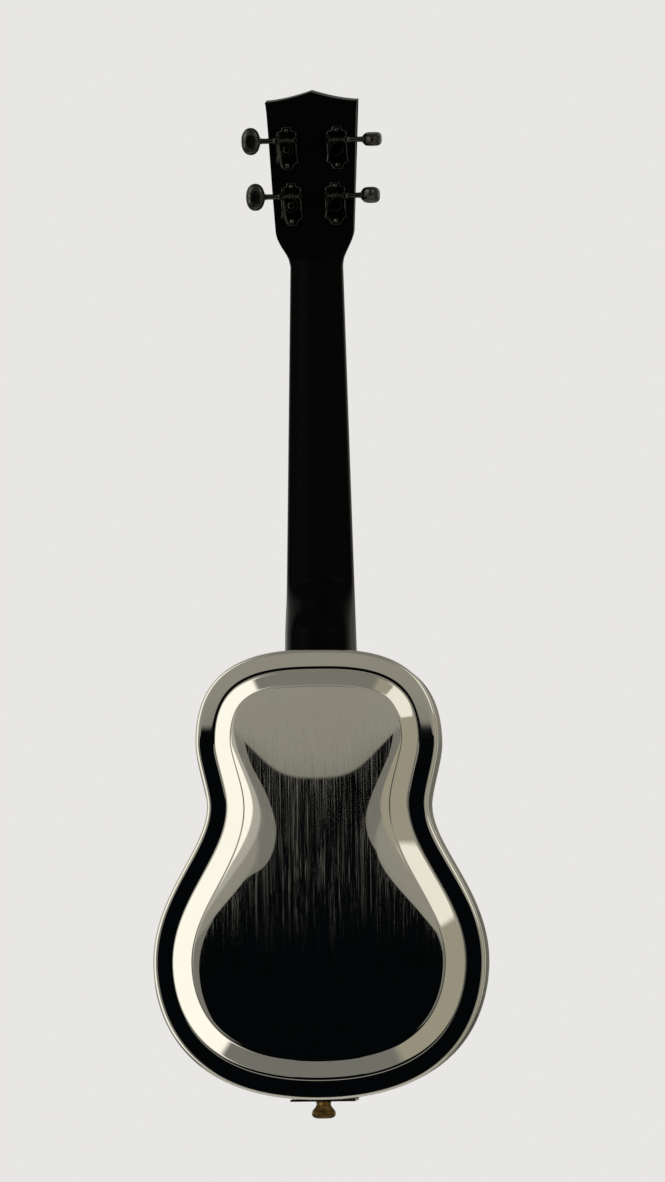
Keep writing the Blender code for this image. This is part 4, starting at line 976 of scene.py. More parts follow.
def cover_profile():
    """(radius, level) steps over the cover, from its rim to the lip of its middle hole."""
    foot, top, crown, hole = COVER_RADIUS - 10, COVER_RADIUS - COVER_SLOPE_WIDTH, COVER_CROWN, 27.0
    line = [(foot + 6, 1.3), (foot, 1.3), (top, COVER_TOP - 1.6), (crown, COVER_TOP), (hole + 1.2, COVER_TOP)]
    rim = [(-0.3, 0.3), (0.0, 0.6), (-0.2, 1.15), (-0.8, 1.3)]
    rounded = [(COVER_RADIUS + out, level) for out, level in rim]
    smooth = filleted(line, 2.2, 6)
    for a, b in zip(smooth, smooth[1:]):
        pieces = max(int((a[0] - b[0]) / 1.6), 1)
        rounded += [(mix(a[0], b[0], i / pieces), mix(a[1], b[1], i / pieces)) for i in range(pieces)]
    rounded += [(hole + 0.6, COVER_TOP - 0.15), (hole, COVER_TOP - 0.7)]
    return rounded


def cover():
    """The cover with its vents in groups of three, and its screws."""
    over = cover_profile()
    under = [(radius + 0.2, max(level - SHEET, 0.3)) for radius, level in reversed(over[2:])]
    piece = made("cover", turned(over + under, on_front, 192, True), FINISHES["nickel"], 35)
    slots = []
    low, high = COVER_CROWN + 2.0, COVER_RADIUS - COVER_SLOPE_WIDTH - 2.0
    for step in (-1, 0, 1):
        inner, outer = low + 4 * abs(step), high - 2 * abs(step)
        near, far = inner + 2.4, outer - 2.4
        corners = [(inner, 0), (near, -1.8), (far, -1.8), (outer, 0), (far, 1.8), (near, 1.8)]
        outline = filleted(corners, 1.0, 3, True)
        turn = Matrix.Rotation(math.radians(11.0) * step, 2)
        outline = [tuple(turn @ Vector(point)) for point in outline]
        slots.append(skin([[(a, b, level) for a, b in outline] for level in (0.3, COVER_TOP + 2)]))
    group_of_slots = made("vents", merged(*slots))
    vents = grown(group_of_slots, RING_TREE, Count=8, First_Angle=TURN / 16, Finish=FINISHES["nickel"])
    to_cone = Matrix.Translation(Vector((0, -FACE, SADDLE_Z)) * MM)
    vents.data.transform(to_cone @ Matrix.Rotation(math.pi / 2, 4, "X"))
    cut(piece, vents, angle=35)
    settle(piece, "instrument", "nickel_plate", "coverplate")
    spots = [on_front(a, b, 1.3) for a, b in circle(COVER_RADIUS - 5.0, 8, TURN / 16)]
    screws = set_on_spots("cover_screws", spots, screw_head(2.1, 0.9), FACING_FRONT, FINISHES["nickel"])
    settle(screws, "instrument", "nickel_plate")


def bridge():
    """The wooden biscuit with the bone saddle let into it."""
    low = CONE_TOP + GAP
    profile = [(0.05, low), (BISCUIT_RADIUS - 0.5, low), (BISCUIT_RADIUS, low + 0.5)]
    for i in range(7):
        angle = math.pi / 2 * i / 6
        inset, drop = 1.4 * (1 - math.cos(angle)), 1.4 * (1 - math.sin(angle))
        profile.append((BISCUIT_RADIUS - inset, BISCUIT_TOP - drop))
    profile.append((0.05, BISCUIT_TOP))
    disc = made("biscuit_disc", turned(profile, on_front, 96), FINISHES["maple"])
    saddle_low, saddle_high = extent("saddle")
    ease = Vector((0.1, 0.1, 0.1))
    cut(disc, block(saddle_low - ease, saddle_high + ease))
    settle(disc, "instrument", "maple", "biscuit")
    half = (saddle_high.z - saddle_low.z) / 2
    top, foot = -FACE - saddle_low.y, -FACE - saddle_high.y
    side_view = [(-half, foot), (half, foot), (half, top - half)]
    angles = (math.pi * i / 10 for i in range(1, 10))
    side_view += [(half * math.cos(a), top - half + half * math.sin(a)) for a in angles]
    side_view.append((-half, top - half))

    def place(a, b, level):
        return level, front(b), SADDLE_Z + a

    bar = made("saddle_bar", slab(side_view, place, saddle_low.x, saddle_high.x, 0.3), FINISHES["bone"])
    settle(bar, "instrument", "bone", "saddle")


def hand_rest():
    """The raised strap over the saddle, on two screwed feet."""
    foot, crown, toe, heel = COVER_TOP + GAP + 0.6, STRING_AT_SADDLE + 4.6, 35.0, 29.0
    rise = crown - foot
    half = [(toe - 6 * i / 5, foot) for i in range(5)]
    bend = heel - 0.5 * rise
    half += bezier((heel, foot), (bend, foot), (bend, crown), (heel - 1.3 * rise, crown), 18)
    half += [(mix(heel - 1.3 * rise, 0, i / 8), crown) for i in range(8)]
    path = half + [(0.0, crown)] + [(-x, level) for x, level in reversed(half)]

    def place(a, b, across):
        return a, front(b), SADDLE_Z + across

    strap = made("hand_rest", strip(path, 1.2, 26.0, place), FINISHES["nickel"], 45)
    settle(strap, "instrument", "nickel_plate", "handrest")
    spots = [on_front(x, z, foot + 0.6) for x in (-32.0, 32.0) for z in (-8.0, 8.0)]
    screw = screw_head(1.7, 0.8)
    screws = set_on_spots("hand_rest_screws", spots, screw, FACING_FRONT, FINISHES["nickel"], seed=9)
    settle(screws, "instrument", "nickel_plate")


# ---- Tailpiece, end button and strings -----------------------------------------------------------


def string_x(number, stop):
    spread = STRING_SPREAD[stop]
    return spread / 2 - (number - 1) * spread / 3


def tail_bracket():
    """The bent tailpiece: a leg under the tail, a web up the front and a slotted lip for the strings."""
    leg_z, level = TAIL_EDGE - GAP - 0.7, 2.9
    lip_z = extent("tailpiece")[1].z - 0.7
    path = filleted([(-FACE - 9.0, leg_z), (level, leg_z), (level, lip_z), (level + 4.5, lip_z)], 3.0, 8)
    dense = []
    for a, b in zip(path, path[1:]):
        dense += [tuple(Vector(a).lerp(Vector(b), i / 3)) for i in range(3)]

    def place(a, b, across):
        return across, front(a), b

    bracket = made("tail_bracket", strip(dense + [path[-1]], 1.4, 44.0, place), FINISHES["nickel"], 45)
    tools = [turned([(3.2, leg_z - 2), (3.2, leg_z + 2)], upright, 32)]
    for number, radius in enumerate(STRING_RADII, 1):
        x, wide = string_x(number, "tail"), radius + 0.15
        tools.append(block((x - wide, front(12), lip_z - 2), (x + wide, front(5.6 - wide), lip_z + 2)))
    cut(bracket, *tools, angle=45)
    settle(bracket, "instrument", "nickel_plate", "tailpiece")


def strap_button():
    """The turned end button with its stem."""
    length, radius = 11.3, 8.3
    shape = [(0.02, 0.30), (0.30, 0.30), (0.36, 0.0), (0.56, 0.0), (0.83, 0.7), (0.97, 2.1), (1.0, 3.8)]
    shape += [(0.93, 5.3), (0.79, 6.6), (0.66, 8.0), (0.585, 9.3), (0.60, 10.5)]
    shape += [(0.64, length - 0.15), (0.62, length)]
    line = filleted([(share * radius, height) for share, height in shape], 0.9, 4)
    line += [(3.0, length), (3.0, length + 21.2), (2.2, length + 22.0), (0.05, length + 22.0)]
    piece = made("strap_button", turned(line, upright, 72), FINISHES["brass"], 40)
    settle(piece, "instrument", "aged_brass", "end_button")


def wrap_map(mesh):
    """Maps a string: one way round it, the other along it in turns of its wrap."""
    layer = mesh.uv_layers.new(name="wrap")
    for face in mesh.polygons:
        columns = [mesh.vertices[i].co for i in face.vertices]
        heights = [co.z for co in columns]
        for k, loop in enumerate(face.loop_indices):
            around = mesh.loops[loop].vertex_index % STRING_SIDES
            layer.data[loop].uv = (around / STRING_SIDES, heights[k] / (WRAP_PITCH * MM))


def string_set():
    """Strings from their balls over saddle and nut to the posts, and their turns on the posts."""
    for number, (side, a0, s0, _) in post_spots().items():
        radius = STRING_RADII[number - 1]
        finish = FINISHES["wound" if number in (3, 4) else "nylon"]
        tail_x, nut_x, saddle_x = (string_x(number, stop) for stop in ("tail", "nut", "saddle"))
        ball = [(0.3, -1.5), (0.95, -1.2), (1.4, -0.6), (1.5, 0.0), (1.4, 0.6), (0.95, 1.2), (0.3, 1.5)]
        knot = turned(ball, lambda a, b, level: (tail_x + a, front(BALL_LEVEL) + b, BALL_Z + level), 20)
        run = [(tail_x, front(BALL_LEVEL), BALL_Z), (saddle_x, front(STRING_AT_SADDLE), SADDLE_Z)]
        run.append((nut_x, front(STRING_AT_NUT), NUT_LOW.z))
        run.append((nut_x, front(STRING_AT_NUT - 0.2), NUT_HIGH.z + GAP))
        coil_radius = 0.93 * POST_RADIUS + radius
        coil_level = OVERLAY[1] + 1.5 + 2.0 * radius
        start = math.pi if side > 0 else 0.0
        run.append(on_head(a0 + coil_radius * math.cos(start), s0, coil_level))
        line = tube(run, radius, STRING_SIDES)
        piece = made(f"string_{number}_run", merged(knot, line), finish, 60)
        wrap_map(piece.data)
        settle(piece, "instrument", "nylon", f"string_{number}")
        coil = []
        count = int(STRING_TURNS * 28)
        for i in range(count + 1):
            angle = start + side * TURN * STRING_TURNS * i / count
            level = coil_level + 2.15 * radius * STRING_TURNS * i / count
            across, along = coil_radius * math.cos(angle), coil_radius * math.sin(angle)
            coil.append(on_head(a0 + across, s0 + along, level))
        last = Vector(coil[-1])
        through = Vector(on_head(a0, s0, OVERLAY[1] + 7.5))
        coil += [tuple(last.lerp(through, share)) for share in (0.3, 0.6, 0.9)]
        winding = made(f"string_{number}_coil", tube(coil, radius, STRING_SIDES), finish, 60)
        wrap_map(winding.data)
        settle(winding, f"tuner_{number}_post", "nylon")


# ---- Neck, head and fretboard ---------------------------------------------------------------------

ACROSS = 41  # points over the neck's width


def on_head(a, s, n):
    """Places a point a across the head, s up it from its root and n out of its front face."""
    sin, cos = math.sin(HEAD_TILT), math.cos(HEAD_TILT)
    return a, front(0) + s * sin - n * cos, HEAD_ROOT + s * cos + n * sin


def neck_width(z):
    return mix(HEEL_WIDTH, NUT_WIDTH, (z - NECK_JOINT) / (NUT_LOW.z - NECK_JOINT))


def head_half_width(s):
    """Half the width of the head, or of the neck just below it."""
    if s >= HEAD_SHOULDER:
        corner = HEAD_LENGTH - HEAD_PEAK
        return mix(HEAD_SHOULDER_WIDTH, HEAD_TOP_WIDTH, (s - HEAD_SHOULDER) / (corner - HEAD_SHOULDER)) / 2
    share = smooth_step((s + FLARE_BELOW_ROOT) / (HEAD_SHOULDER + FLARE_BELOW_ROOT))
    return mix(NUT_WIDTH, HEAD_SHOULDER_WIDTH, share) / 2


def crest(a, drop=0.0):
    """s of the head's top edge at a distance a from its middle."""
    return HEAD_LENGTH - drop - HEAD_PEAK + HEAD_PEAK * max(1 - abs(a) / (HEAD_TOP_WIDTH / 2), 0.0) ** 1.6


def post_spots():
    """Each tuner's side of the head, its post's place across and up the head, and its knob's turn."""
    spots = {}
    for number, (side, s, knob_turn) in TUNERS.items():
        spots[number] = (side, side * (head_half_width(s) - POST_INSET), s, knob_turn)
    return spots


def neck_section(half_width, depth, side, power, front_edge=0.5):
    """(across, depth) points: the flat face from right to left, then the rounded back to the right."""
    across = [half_width * math.cos(math.pi * i / (ACROSS - 1)) for i in range(ACROSS)]
    back = []
    for a in reversed(across):
        bulge = (1 - min(abs(a) / half_width, 1.0) ** power) ** (1 / power)
        back.append((a, side + (depth - side) * bulge))
    face = [(a * (1 - front_edge / half_width), 0.0) for a in across]
    edge_right, edge_left = [(half_width, front_edge)], [(-half_width, front_edge)]
    return face + edge_left + back + edge_right


def neck_rings():
    flare_z = HEAD_ROOT - FLARE_BELOW_ROOT
    heights = [NECK_JOINT + GAP + HEEL_RUN * i / 26 for i in range(27)]
    heights += [mix(NECK_JOINT + GAP + HEEL_RUN, flare_z, i / 14) for i in range(1, 15)]
    rings = []
    for z in heights:
        along = (z - NECK_JOINT) / (NUT_LOW.z - NECK_JOINT)
        plain = mix(NECK_DEPTH_AT_HEEL, NECK_DEPTH_AT_NUT, along)
        heel = smooth_step((NECK_JOINT + HEEL_RUN - z) / (HEEL_RUN - STICK_IN_HEEL))
        depth = mix(plain, HEEL_DEPTH, heel)
        section = neck_section(neck_width(z) / 2, depth, NECK_SIDE, mix(2.2, 3.0, heel))
        rings.append([(a, front(-depth), z) for a, depth in section])
    steps = 18
    for i in range(steps + 1):
        s = HEAD_SHOULDER * i / steps
        squared = smooth_step((i + 1) / steps)
        side = mix(NECK_SIDE, HEAD_THICKNESS - 1.0, squared)
        depth = mix(NECK_DEPTH_AT_NUT, HEAD_THICKNESS, squared)
        section = neck_section(head_half_width(s), depth, side, mix(2.2, 8.0, squared))
        rings.append([on_head(a, s, -depth) for a, depth in section])
    for i in range(1, 13):
        share = i / 12
        s = mix(HEAD_SHOULDER, HEAD_LENGTH - HEAD_PEAK - 1.0, share)
        section = neck_section(head_half_width(s), HEAD_THICKNESS, HEAD_THICKNESS - 1.0, 8.0)
        rings.append([on_head(a, mix(s, crest(a, 0.6), share**3), -depth) for a, depth in section])
    top = neck_section(HEAD_TOP_WIDTH / 2 - 0.5, HEAD_THICKNESS - 0.4, HEAD_THICKNESS - 1.2, 8.0)
    rings.append([on_head(a, crest(a), -min(max(depth, 0.4), HEAD_THICKNESS)) for a, depth in top])
    return rings


def neck_and_head():
    """The lacquered neck with its heel and head in one, with a pocket cut for the neck stick."""
    rings = neck_rings()
    points, faces = skin(rings, capped=False)
    count = len(rings[0])
    half = ACROSS
    for base in (0, (len(rings) - 1) * count):
        pairs = [(base + i, base + half + (half - i)) for i in range(half)]
        faces += [(a, b, d, c) for (a, c), (b, d) in zip(pairs, pairs[1:])]
        faces.append((base, base + half + half, base + count - 1))
        faces.append((base + half - 1, base + half, base + half + 1))
    neck = made("neck_and_head", (points, faces), FINISHES["lacquer"], 38)
    cut(neck, stick_box(NECK_JOINT - 2, NECK_JOINT + STICK_IN_HEEL + 0.6), angle=38)
    settle(neck, "instrument", "black_lacquer", "neck")


def head_face():
    """The thin lacquered overlay on the head's front."""
    steps = 24
    heights = (1.5 + (HEAD_SHOULDER - 1.5) * i / steps for i in range(steps + 1))
    side = [(head_half_width(s), s) for s in heights]
    top_half = HEAD_TOP_WIDTH / 2
    across = [top_half * math.cos(math.pi * i / 60) for i in range(61)]
    outline = side + [(a, crest(a)) for a in across] + [(-a, s) for a, s in reversed(side)]
    piece = made("head_face", slab(outline, on_head, *OVERLAY, 0.5), FINISHES["lacquer"], 38)
    settle(piece, "instrument", "black_lacquer", "head_overlay")


def fret_z(number):
    return SADDLE_Z + SCALE_LENGTH / 2 ** (number / 12)


def finger_board():
    """The fretboard with its position dots, and the frets."""
    low, high = BOARD_LOW.z, BOARD_HIGH.z
    wide, narrow = neck_width(low) / 2, neck_width(high) / 2
    corners = [(wide, low), (narrow, high), (-narrow, high), (-wide, low)]
    outline = []
    for a, b in zip(corners, corners[1:] + corners[:1]):
        outline += [tuple(Vector(a).lerp(Vector(b), i / 24)) for i in range(24)]
    board = made("finger_board", slab(outline, across_neck, GAP, BOARD_TOP, 0.5), FINISHES["board"])
    settle(board, "instrument", "dark_fretboard", "fretboard")

    dot = made("dot", turned([(3.0, -0.3), (3.0, 0.02), (2.9, 0.06), (0.02, 0.08)], upright, 32))
    spots = []
    for number in (5, 7, 10, 12, 15):
        z = (fret_z(number) + fret_z(number - 1)) / 2
        spots += [across_neck(a, z, BOARD_TOP) for a in ((-9.0, 9.0) if number == 12 else (0.0,))]
    dots = set_on_spots("position_dots", spots, dot, FACING_FRONT, FINISHES["pearl"])
    settle(dots, "instrument", "bone")

    crown = [(1.1 * math.cos(math.pi * i / 12), 0.05 + 0.95 * math.sin(math.pi * i / 12)) for i in range(13)]
    section = crown + [(-1.1, -0.3), (1.1, -0.3)]
    rings = []
    for x, size in ((-1.0, 0.35), (-0.992, 0.75), (-0.975, 1.0), (0.975, 1.0), (0.992, 0.75), (1.0, 0.35)):
        ring = []
        for across, level in section:
            ring.append((x / MM, -level * size if level > 0 else -level, across * size))
        rings.append(ring)
    fret = made("frets", skin(rings))
    grown(fret, FRET_TREE, Level=front(BOARD_TOP) * MM, Finish=FINISHES["frets"])
    settle(fret, "instrument", "nickel_silver", *[f"fret_{number:02d}" for number in range(1, FRETS + 1)])


def top_nut():
    """The bone nut: a bar with a rounded top and a slot for each string."""
    depth = NUT_HIGH.z - NUT_LOW.z
    top = -FACE - NUT_LOW.y
    corners = [(0, GAP), (depth, GAP), (depth, top - 1.1), (0.25 * depth, top), (0, top - 0.1)]
    side_view = filleted(corners, 0.5, 4, True)

    def place(a, b, level):
        return level, front(b), NUT_LOW.z + a

    bar = made("nut_bar", slab(side_view, place, NUT_LOW.x, NUT_HIGH.x, 0.3), FINISHES["bone"])
    tools = []
    for number, radius in enumerate(STRING_RADII, 1):
        x, wide = string_x(number, "nut"), radius + 0.08
        over = (x - wide, front(top + 2), NUT_LOW.z - 1)
        under = (x + wide, front(STRING_AT_NUT - radius), NUT_HIGH.z + 1)
        tools.append(block(over, under))
    cut(bar, *tools)
    settle(bar, "instrument", "bone", "nut")


# ---- Tuners ---------------------------------------------------------------------------------------


def tuner_place(side, a0, s0):
    """Placing function for one tuner: u outwards from its post, v up the head, w out of its back."""

    def place(u, v, w):
        return on_head(a0 + side * u, s0 + v, -HEAD_THICKNESS - w)

    return place


def plate_outline():
    """A tuner plate: straight sides, a stepped top and a scrolled foot with two ears."""
    top, bottom = SHAFT_V + 9.1, -14.2
    head = [(2.3, 0.0), (3.2, 0.5), (3.3, 2.2), (4.5, 2.9), (6.6, 3.4), (7.0, 4.6)]
    foot = [(7.0, 9.8), (7.2, 7.0), (7.9, 5.6), (7.3, 4.8)]
    foot += [(5.9, 4.4), (4.7, 3.3), (4.0, 1.8), (3.5, 0.6), (2.6, 0.0)]
    half = [(u, top - drop) for u, drop in head] + [(u, bottom + up) for u, up in foot]
    return filleted(half + [(-u, v) for u, v in reversed(half)], 0.45, 3, True)


def lug_shape(place, end):
    """A folded side of a plate: a low flange that rises to a tongue with the shaft's bearing."""
    inner, outer = LUG_INNER, LUG_INNER + 0.98
    hole = (SHAFT_RADIUS if end > 0 else 1.3) + 0.1
    sides = 48
    rim, bore = [], []
    for i in range(sides):
        angle = TURN * i / sides
        a, b = math.cos(angle), math.sin(angle)
        reach = min(3.0 / max(abs(a), 1e-6), (2.9 if b > 0 else SHAFT_W - 0.9) / max(abs(b), 1e-6), 3.55)
        rim.append((a * reach, b * reach))
        bore.append((a * hole, b * hole))
    levels = ((rim, inner), (rim, outer), (bore, outer), (bore, inner))
    rings = [[place(end * u, SHAFT_V + a, SHAFT_W + b) for a, b in outline] for outline, u in levels]
    flange = [(-4.2, 0.6), (11.2, 0.6), (11.2, 1.9), (10.6, 2.5), (9.0, 2.5), (8.6, 2.2)]
    flange += [(3.6, 2.2), (3.2, 2.5), (-3.6, 2.5), (-4.2, 1.9)]

    def stand(a, b, level):
        return place(end * (inner + level), a, b)

    return merged(skin(rings, endless=True), slab(flange, stand, 0.02, 0.98, 0.4, 4))


def tuner_base(number, place, facing):
    """A tuner's plate with its two folded sides, and the two screws that hold it."""
    plate_shape = slab(plate_outline(), place, GAP, 1.5, 0.5, 4)
    plate = made(f"tuner_{number}_base", plate_shape, FINISHES["tuners"], 40)
    cut(plate, turned([(3.3, -1.0), (3.3, 3.0)], place, 40), angle=40)
    lugs = made("lugs", merged(lug_shape(place, 1), lug_shape(place, -1)), FINISHES["tuners"], 40)
    with bpy.context.temp_override(active_object=plate, selected_editable_objects=[plate, lugs]):
        bpy.ops.object.join()
    settle(plate, "instrument", "black_nickel", f"tuner_{number}_plate")
    spots = [place(0.0, v, 1.5) for v in (12.6, -11.3)]
    name, screw = f"tuner_{number}_screws", screw_head(1.55, 0.8)
    screws = set_on_spots(name, spots, screw, facing, FINISHES["tuners"], seed=number)
    settle(screws, "instrument", "black_nickel")


def thread_radius(phase):
    """Radius of the worm where its thread is that share of a pitch away from the crest."""
    away = abs((phase + 0.5) % 1.0 - 0.5)
    return WORM_RADIUS - THREAD_DEPTH + smooth_step((0.32 - away) / 0.24) * 1.18


def worm_piece(number, place):
    """The worm, its journals and the shaft out to the knob."""
    sides, turns = 28, 3
    angles = [TURN * j / sides for j in range(sides)]

    def ring(u, radii):
        return [place(u, SHAFT_V + r * math.sin(t), SHAFT_W + r * math.cos(t)) for t, r in zip(angles, radii)]

    def plain(u, radius):
        return ring(u, [radius] * sides)

    half, core = turns * WORM_PITCH / 2, WORM_RADIUS - THREAD_DEPTH
    rings = [plain(-7.6, 0.9), plain(-7.4, 1.3), plain(-5.7, 1.3), plain(-5.7, 2.0), plain(-5.6, 2.1)]
    rings += [plain(-5.0, 2.1), plain(-4.9, core), plain(-half, core)]
    count = turns * 18
    for i in range(1, count):
        share = turns * (i / count - 0.5)
        ends = smooth_step(4 * i / count * turns / 3) * smooth_step(4 * (1 - i / count) * turns / 3)
        radii = [mix(core, thread_radius(share - t / TURN - 0.25), ends) for t in angles]
        rings.append(ring(share * WORM_PITCH, radii))
    rings += [plain(half, core), plain(4.9, core), plain(5.0, 2.1), plain(5.7, 2.1), plain(5.7, SHAFT_RADIUS)]
    rings += [plain(7.3, SHAFT_RADIUS), plain(7.35, 2.4), plain(7.5, 2.5), plain(8.7, 2.5), plain(8.9, 2.35)]
    rings += [plain(9.0, SHAFT_RADIUS), plain(16.9, SHAFT_RADIUS), plain(17.0, 2.15), plain(17.6, 2.15)]
    rings += [plain(17.7, SHAFT_RADIUS), plain(22.0, SHAFT_RADIUS)]
    piece = made(f"tuner_{number}_worm_piece", skin(rings), FINISHES["tuners"], 40)
    settle(piece, f"tuner_{number}_worm", "black_nickel", f"tuner_{number}_worm_shaft")


def knob(number, place, turned_by):
    """The oval knob, drawn in at its neck and softly dished on its two faces."""
    lengths, sides = 40, 56
    reach, width = 18.0, 12.8
    cos, sin = math.cos(turned_by), math.sin(turned_by)
    rings = []
    for i in range(lengths + 1):
        t = -math.cos(math.pi * i / lengths)
        hub = 3.1 if t < 0 else 0.3
        tall = max(9.3 * max(1 - abs(t) ** 2.25, 0) ** (1 / 2.25), hub)
        thick = max(4.75 * max(1 - abs(t) ** 3.4, 0) ** (1 / 3.4), min(hub, 3.0))
        ring = []
        for angle in (TURN * k / sides for k in range(sides)):
            a = math.copysign(abs(math.cos(angle)) ** 0.80, math.cos(angle))
            b = math.copysign(abs(math.sin(angle)) ** 0.72, math.sin(angle))
            v, w = a * tall, b * thick
            dish = 0.3 * math.exp(-((v / 5.0) ** 2 + ((t + 0.05) / 0.55) ** 2)) * abs(b) ** 4
            w -= math.copysign(dish, w)
            v, w = v * cos - w * sin, v * sin + w * cos
            ring.append(place(reach + (t + 1) / 2 * width, SHAFT_V + v, SHAFT_W + w))
        rings.append(ring)
    piece = made(f"tuner_{number}_knob", skin(rings), FINISHES["knobs"], 60)
    settle(piece, f"tuner_{number}_worm", "black_nickel", f"tuner_{number}_button")


def gear_outline(swing, shrink=0.0):
    """The gear's teeth as (u, v) points, turned so that a gap faces the worm, plus a small swing."""
    root, tip = GEAR_RADIUS - THREAD_DEPTH, GEAR_RADIUS + 0.50 - shrink
    points = []
    for tooth in range(GEAR_TEETH):
        flank = ((-0.30, root), (-0.22, root + 0.15), (-0.15, mix(root, tip, 0.6)), (-0.09, tip))
        for shift, radius in flank + tuple((-shift, radius) for shift, radius in reversed(flank)):
            angle = TURN * (tooth + 0.5 + shift) / GEAR_TEETH + swing
            points.append((radius * math.sin(angle), radius * math.cos(angle)))
    return points


def post_piece(number, place):
    """The string post with its worm gear and the gear's slotted screw."""
    top = -HEAD_THICKNESS - OVERLAY[1] - 12.0
    gear_low, gear_high = 3.0, 5.6
    profile = [(0.05, top), (2.1, top), (2.7, top + 0.35), (3.0, top + 0.9), (3.0, top + 2.2)]
    for i in range(9):
        profile.append((mix(3.0, 2.6, math.sin(math.pi * i / 8)), mix(top + 2.4, top + 9.0, i / 8)))
    profile += [(3.0, top + 9.2), (3.0, gear_low + 0.4), (0.05, gear_low + 0.4)]
    post = made(f"tuner_{number}_post_piece", turned(profile, place, 48), FINISHES["tuners"], 35)
    bore = [(0.8 * a, 0.8 * b) for a, b in circle(1.0, 20)]
    hole = skin([[place(u, a, top + 4.5 + b) for a, b in bore] for u in (-5, 5)])
    cut(post, hole, angle=35)
    levels = [(gear_low, -1.0, 0.25), (gear_low + 0.25, -0.8, 0.0)]
    levels += [(gear_high - 0.25, 0.8, 0.0), (gear_high, 1.0, 0.25)]
    swing = WORM_PITCH * 1.3 / (TURN * WORM_RADIUS * GEAR_RADIUS)
    rings = []
    for level, way, shrink in levels:
        rings.append([place(u, v, level) for u, v in gear_outline(swing * way, shrink)])
    cap = [(2.4, gear_high - 0.2), (2.4, 6.0), (2.2, 6.3), (1.7, 6.4), (0.05, 6.4)]
    cap.append((0.05, gear_high - 0.2))
    gear = made("gear", merged(skin(rings), turned(cap, place, 40)), FINISHES["tuners"], 35)
    slot = ((-3, -0.35), (3, -0.35), (3, 0.35), (-3, 0.35))
    groove = skin([[place(u, v, w) for u, v in slot] for w in (5.95, 7.5)])
    cut(gear, groove, angle=35)
    with bpy.context.temp_override(active_object=post, selected_editable_objects=[post, gear]):
        bpy.ops.object.join()
    settle(post, f"tuner_{number}_post", "black_nickel", f"tuner_{number}_gear_post")


def bushing(number, place):
    """The brimmed sleeve round a post on the head's front."""
    face = -HEAD_THICKNESS - OVERLAY[1]
    brim = face - GAP
    lip = [(3.15, 0.9), (3.4, 1.2), (4.6, 1.2), (5.3, 0.95), (5.8, 0.5), (5.9, 0.0), (4.3, 0.0)]
    profile = [(3.15, face + 6.0), *((r, brim - out) for r, out in lip), (4.3, face + 6.0)]
    piece = made(f"tuner_{number}_sleeve", turned(profile, place, 48, True), FINISHES["tuners"], 35)
    settle(piece, "instrument", "black_nickel", f"tuner_{number}_bushing")


def tuners():
    facing = Euler((-math.pi / 2 - HEAD_TILT, 0, 0))  # turns +Z to the head's back
    for number, (side, a0, s0, knob_turn) in post_spots().items():
        place = tuner_place(side, a0, s0)
        tuner_base(number, place, facing)
        worm_piece(number, place)
        knob(number, place, knob_turn)
        post_piece(number, place)
        bushing(number, place)


def kept_nodes():
    """CAD pieces whose shape is already right take a better finish."""
    wooden = ("neck_stick", "stick_post_upper", "stick_post_lower")
    finishes = {"cone_well": "nickel"} | {node: "maple" for node in wooden}
    for node, finish in finishes.items():
        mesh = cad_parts[node].data
        mesh.materials.clear()
        mesh.materials.append(FINISHES[finish])


# ---- Studio ---------------------------------------------------------------------------------------

PALE = (0.807, 0.799, 0.783, 1.0)
FLOOR_RADIUS, FLOOR_DROP, FLOOR_THICKNESS = 780.0, 750.0, 12.0


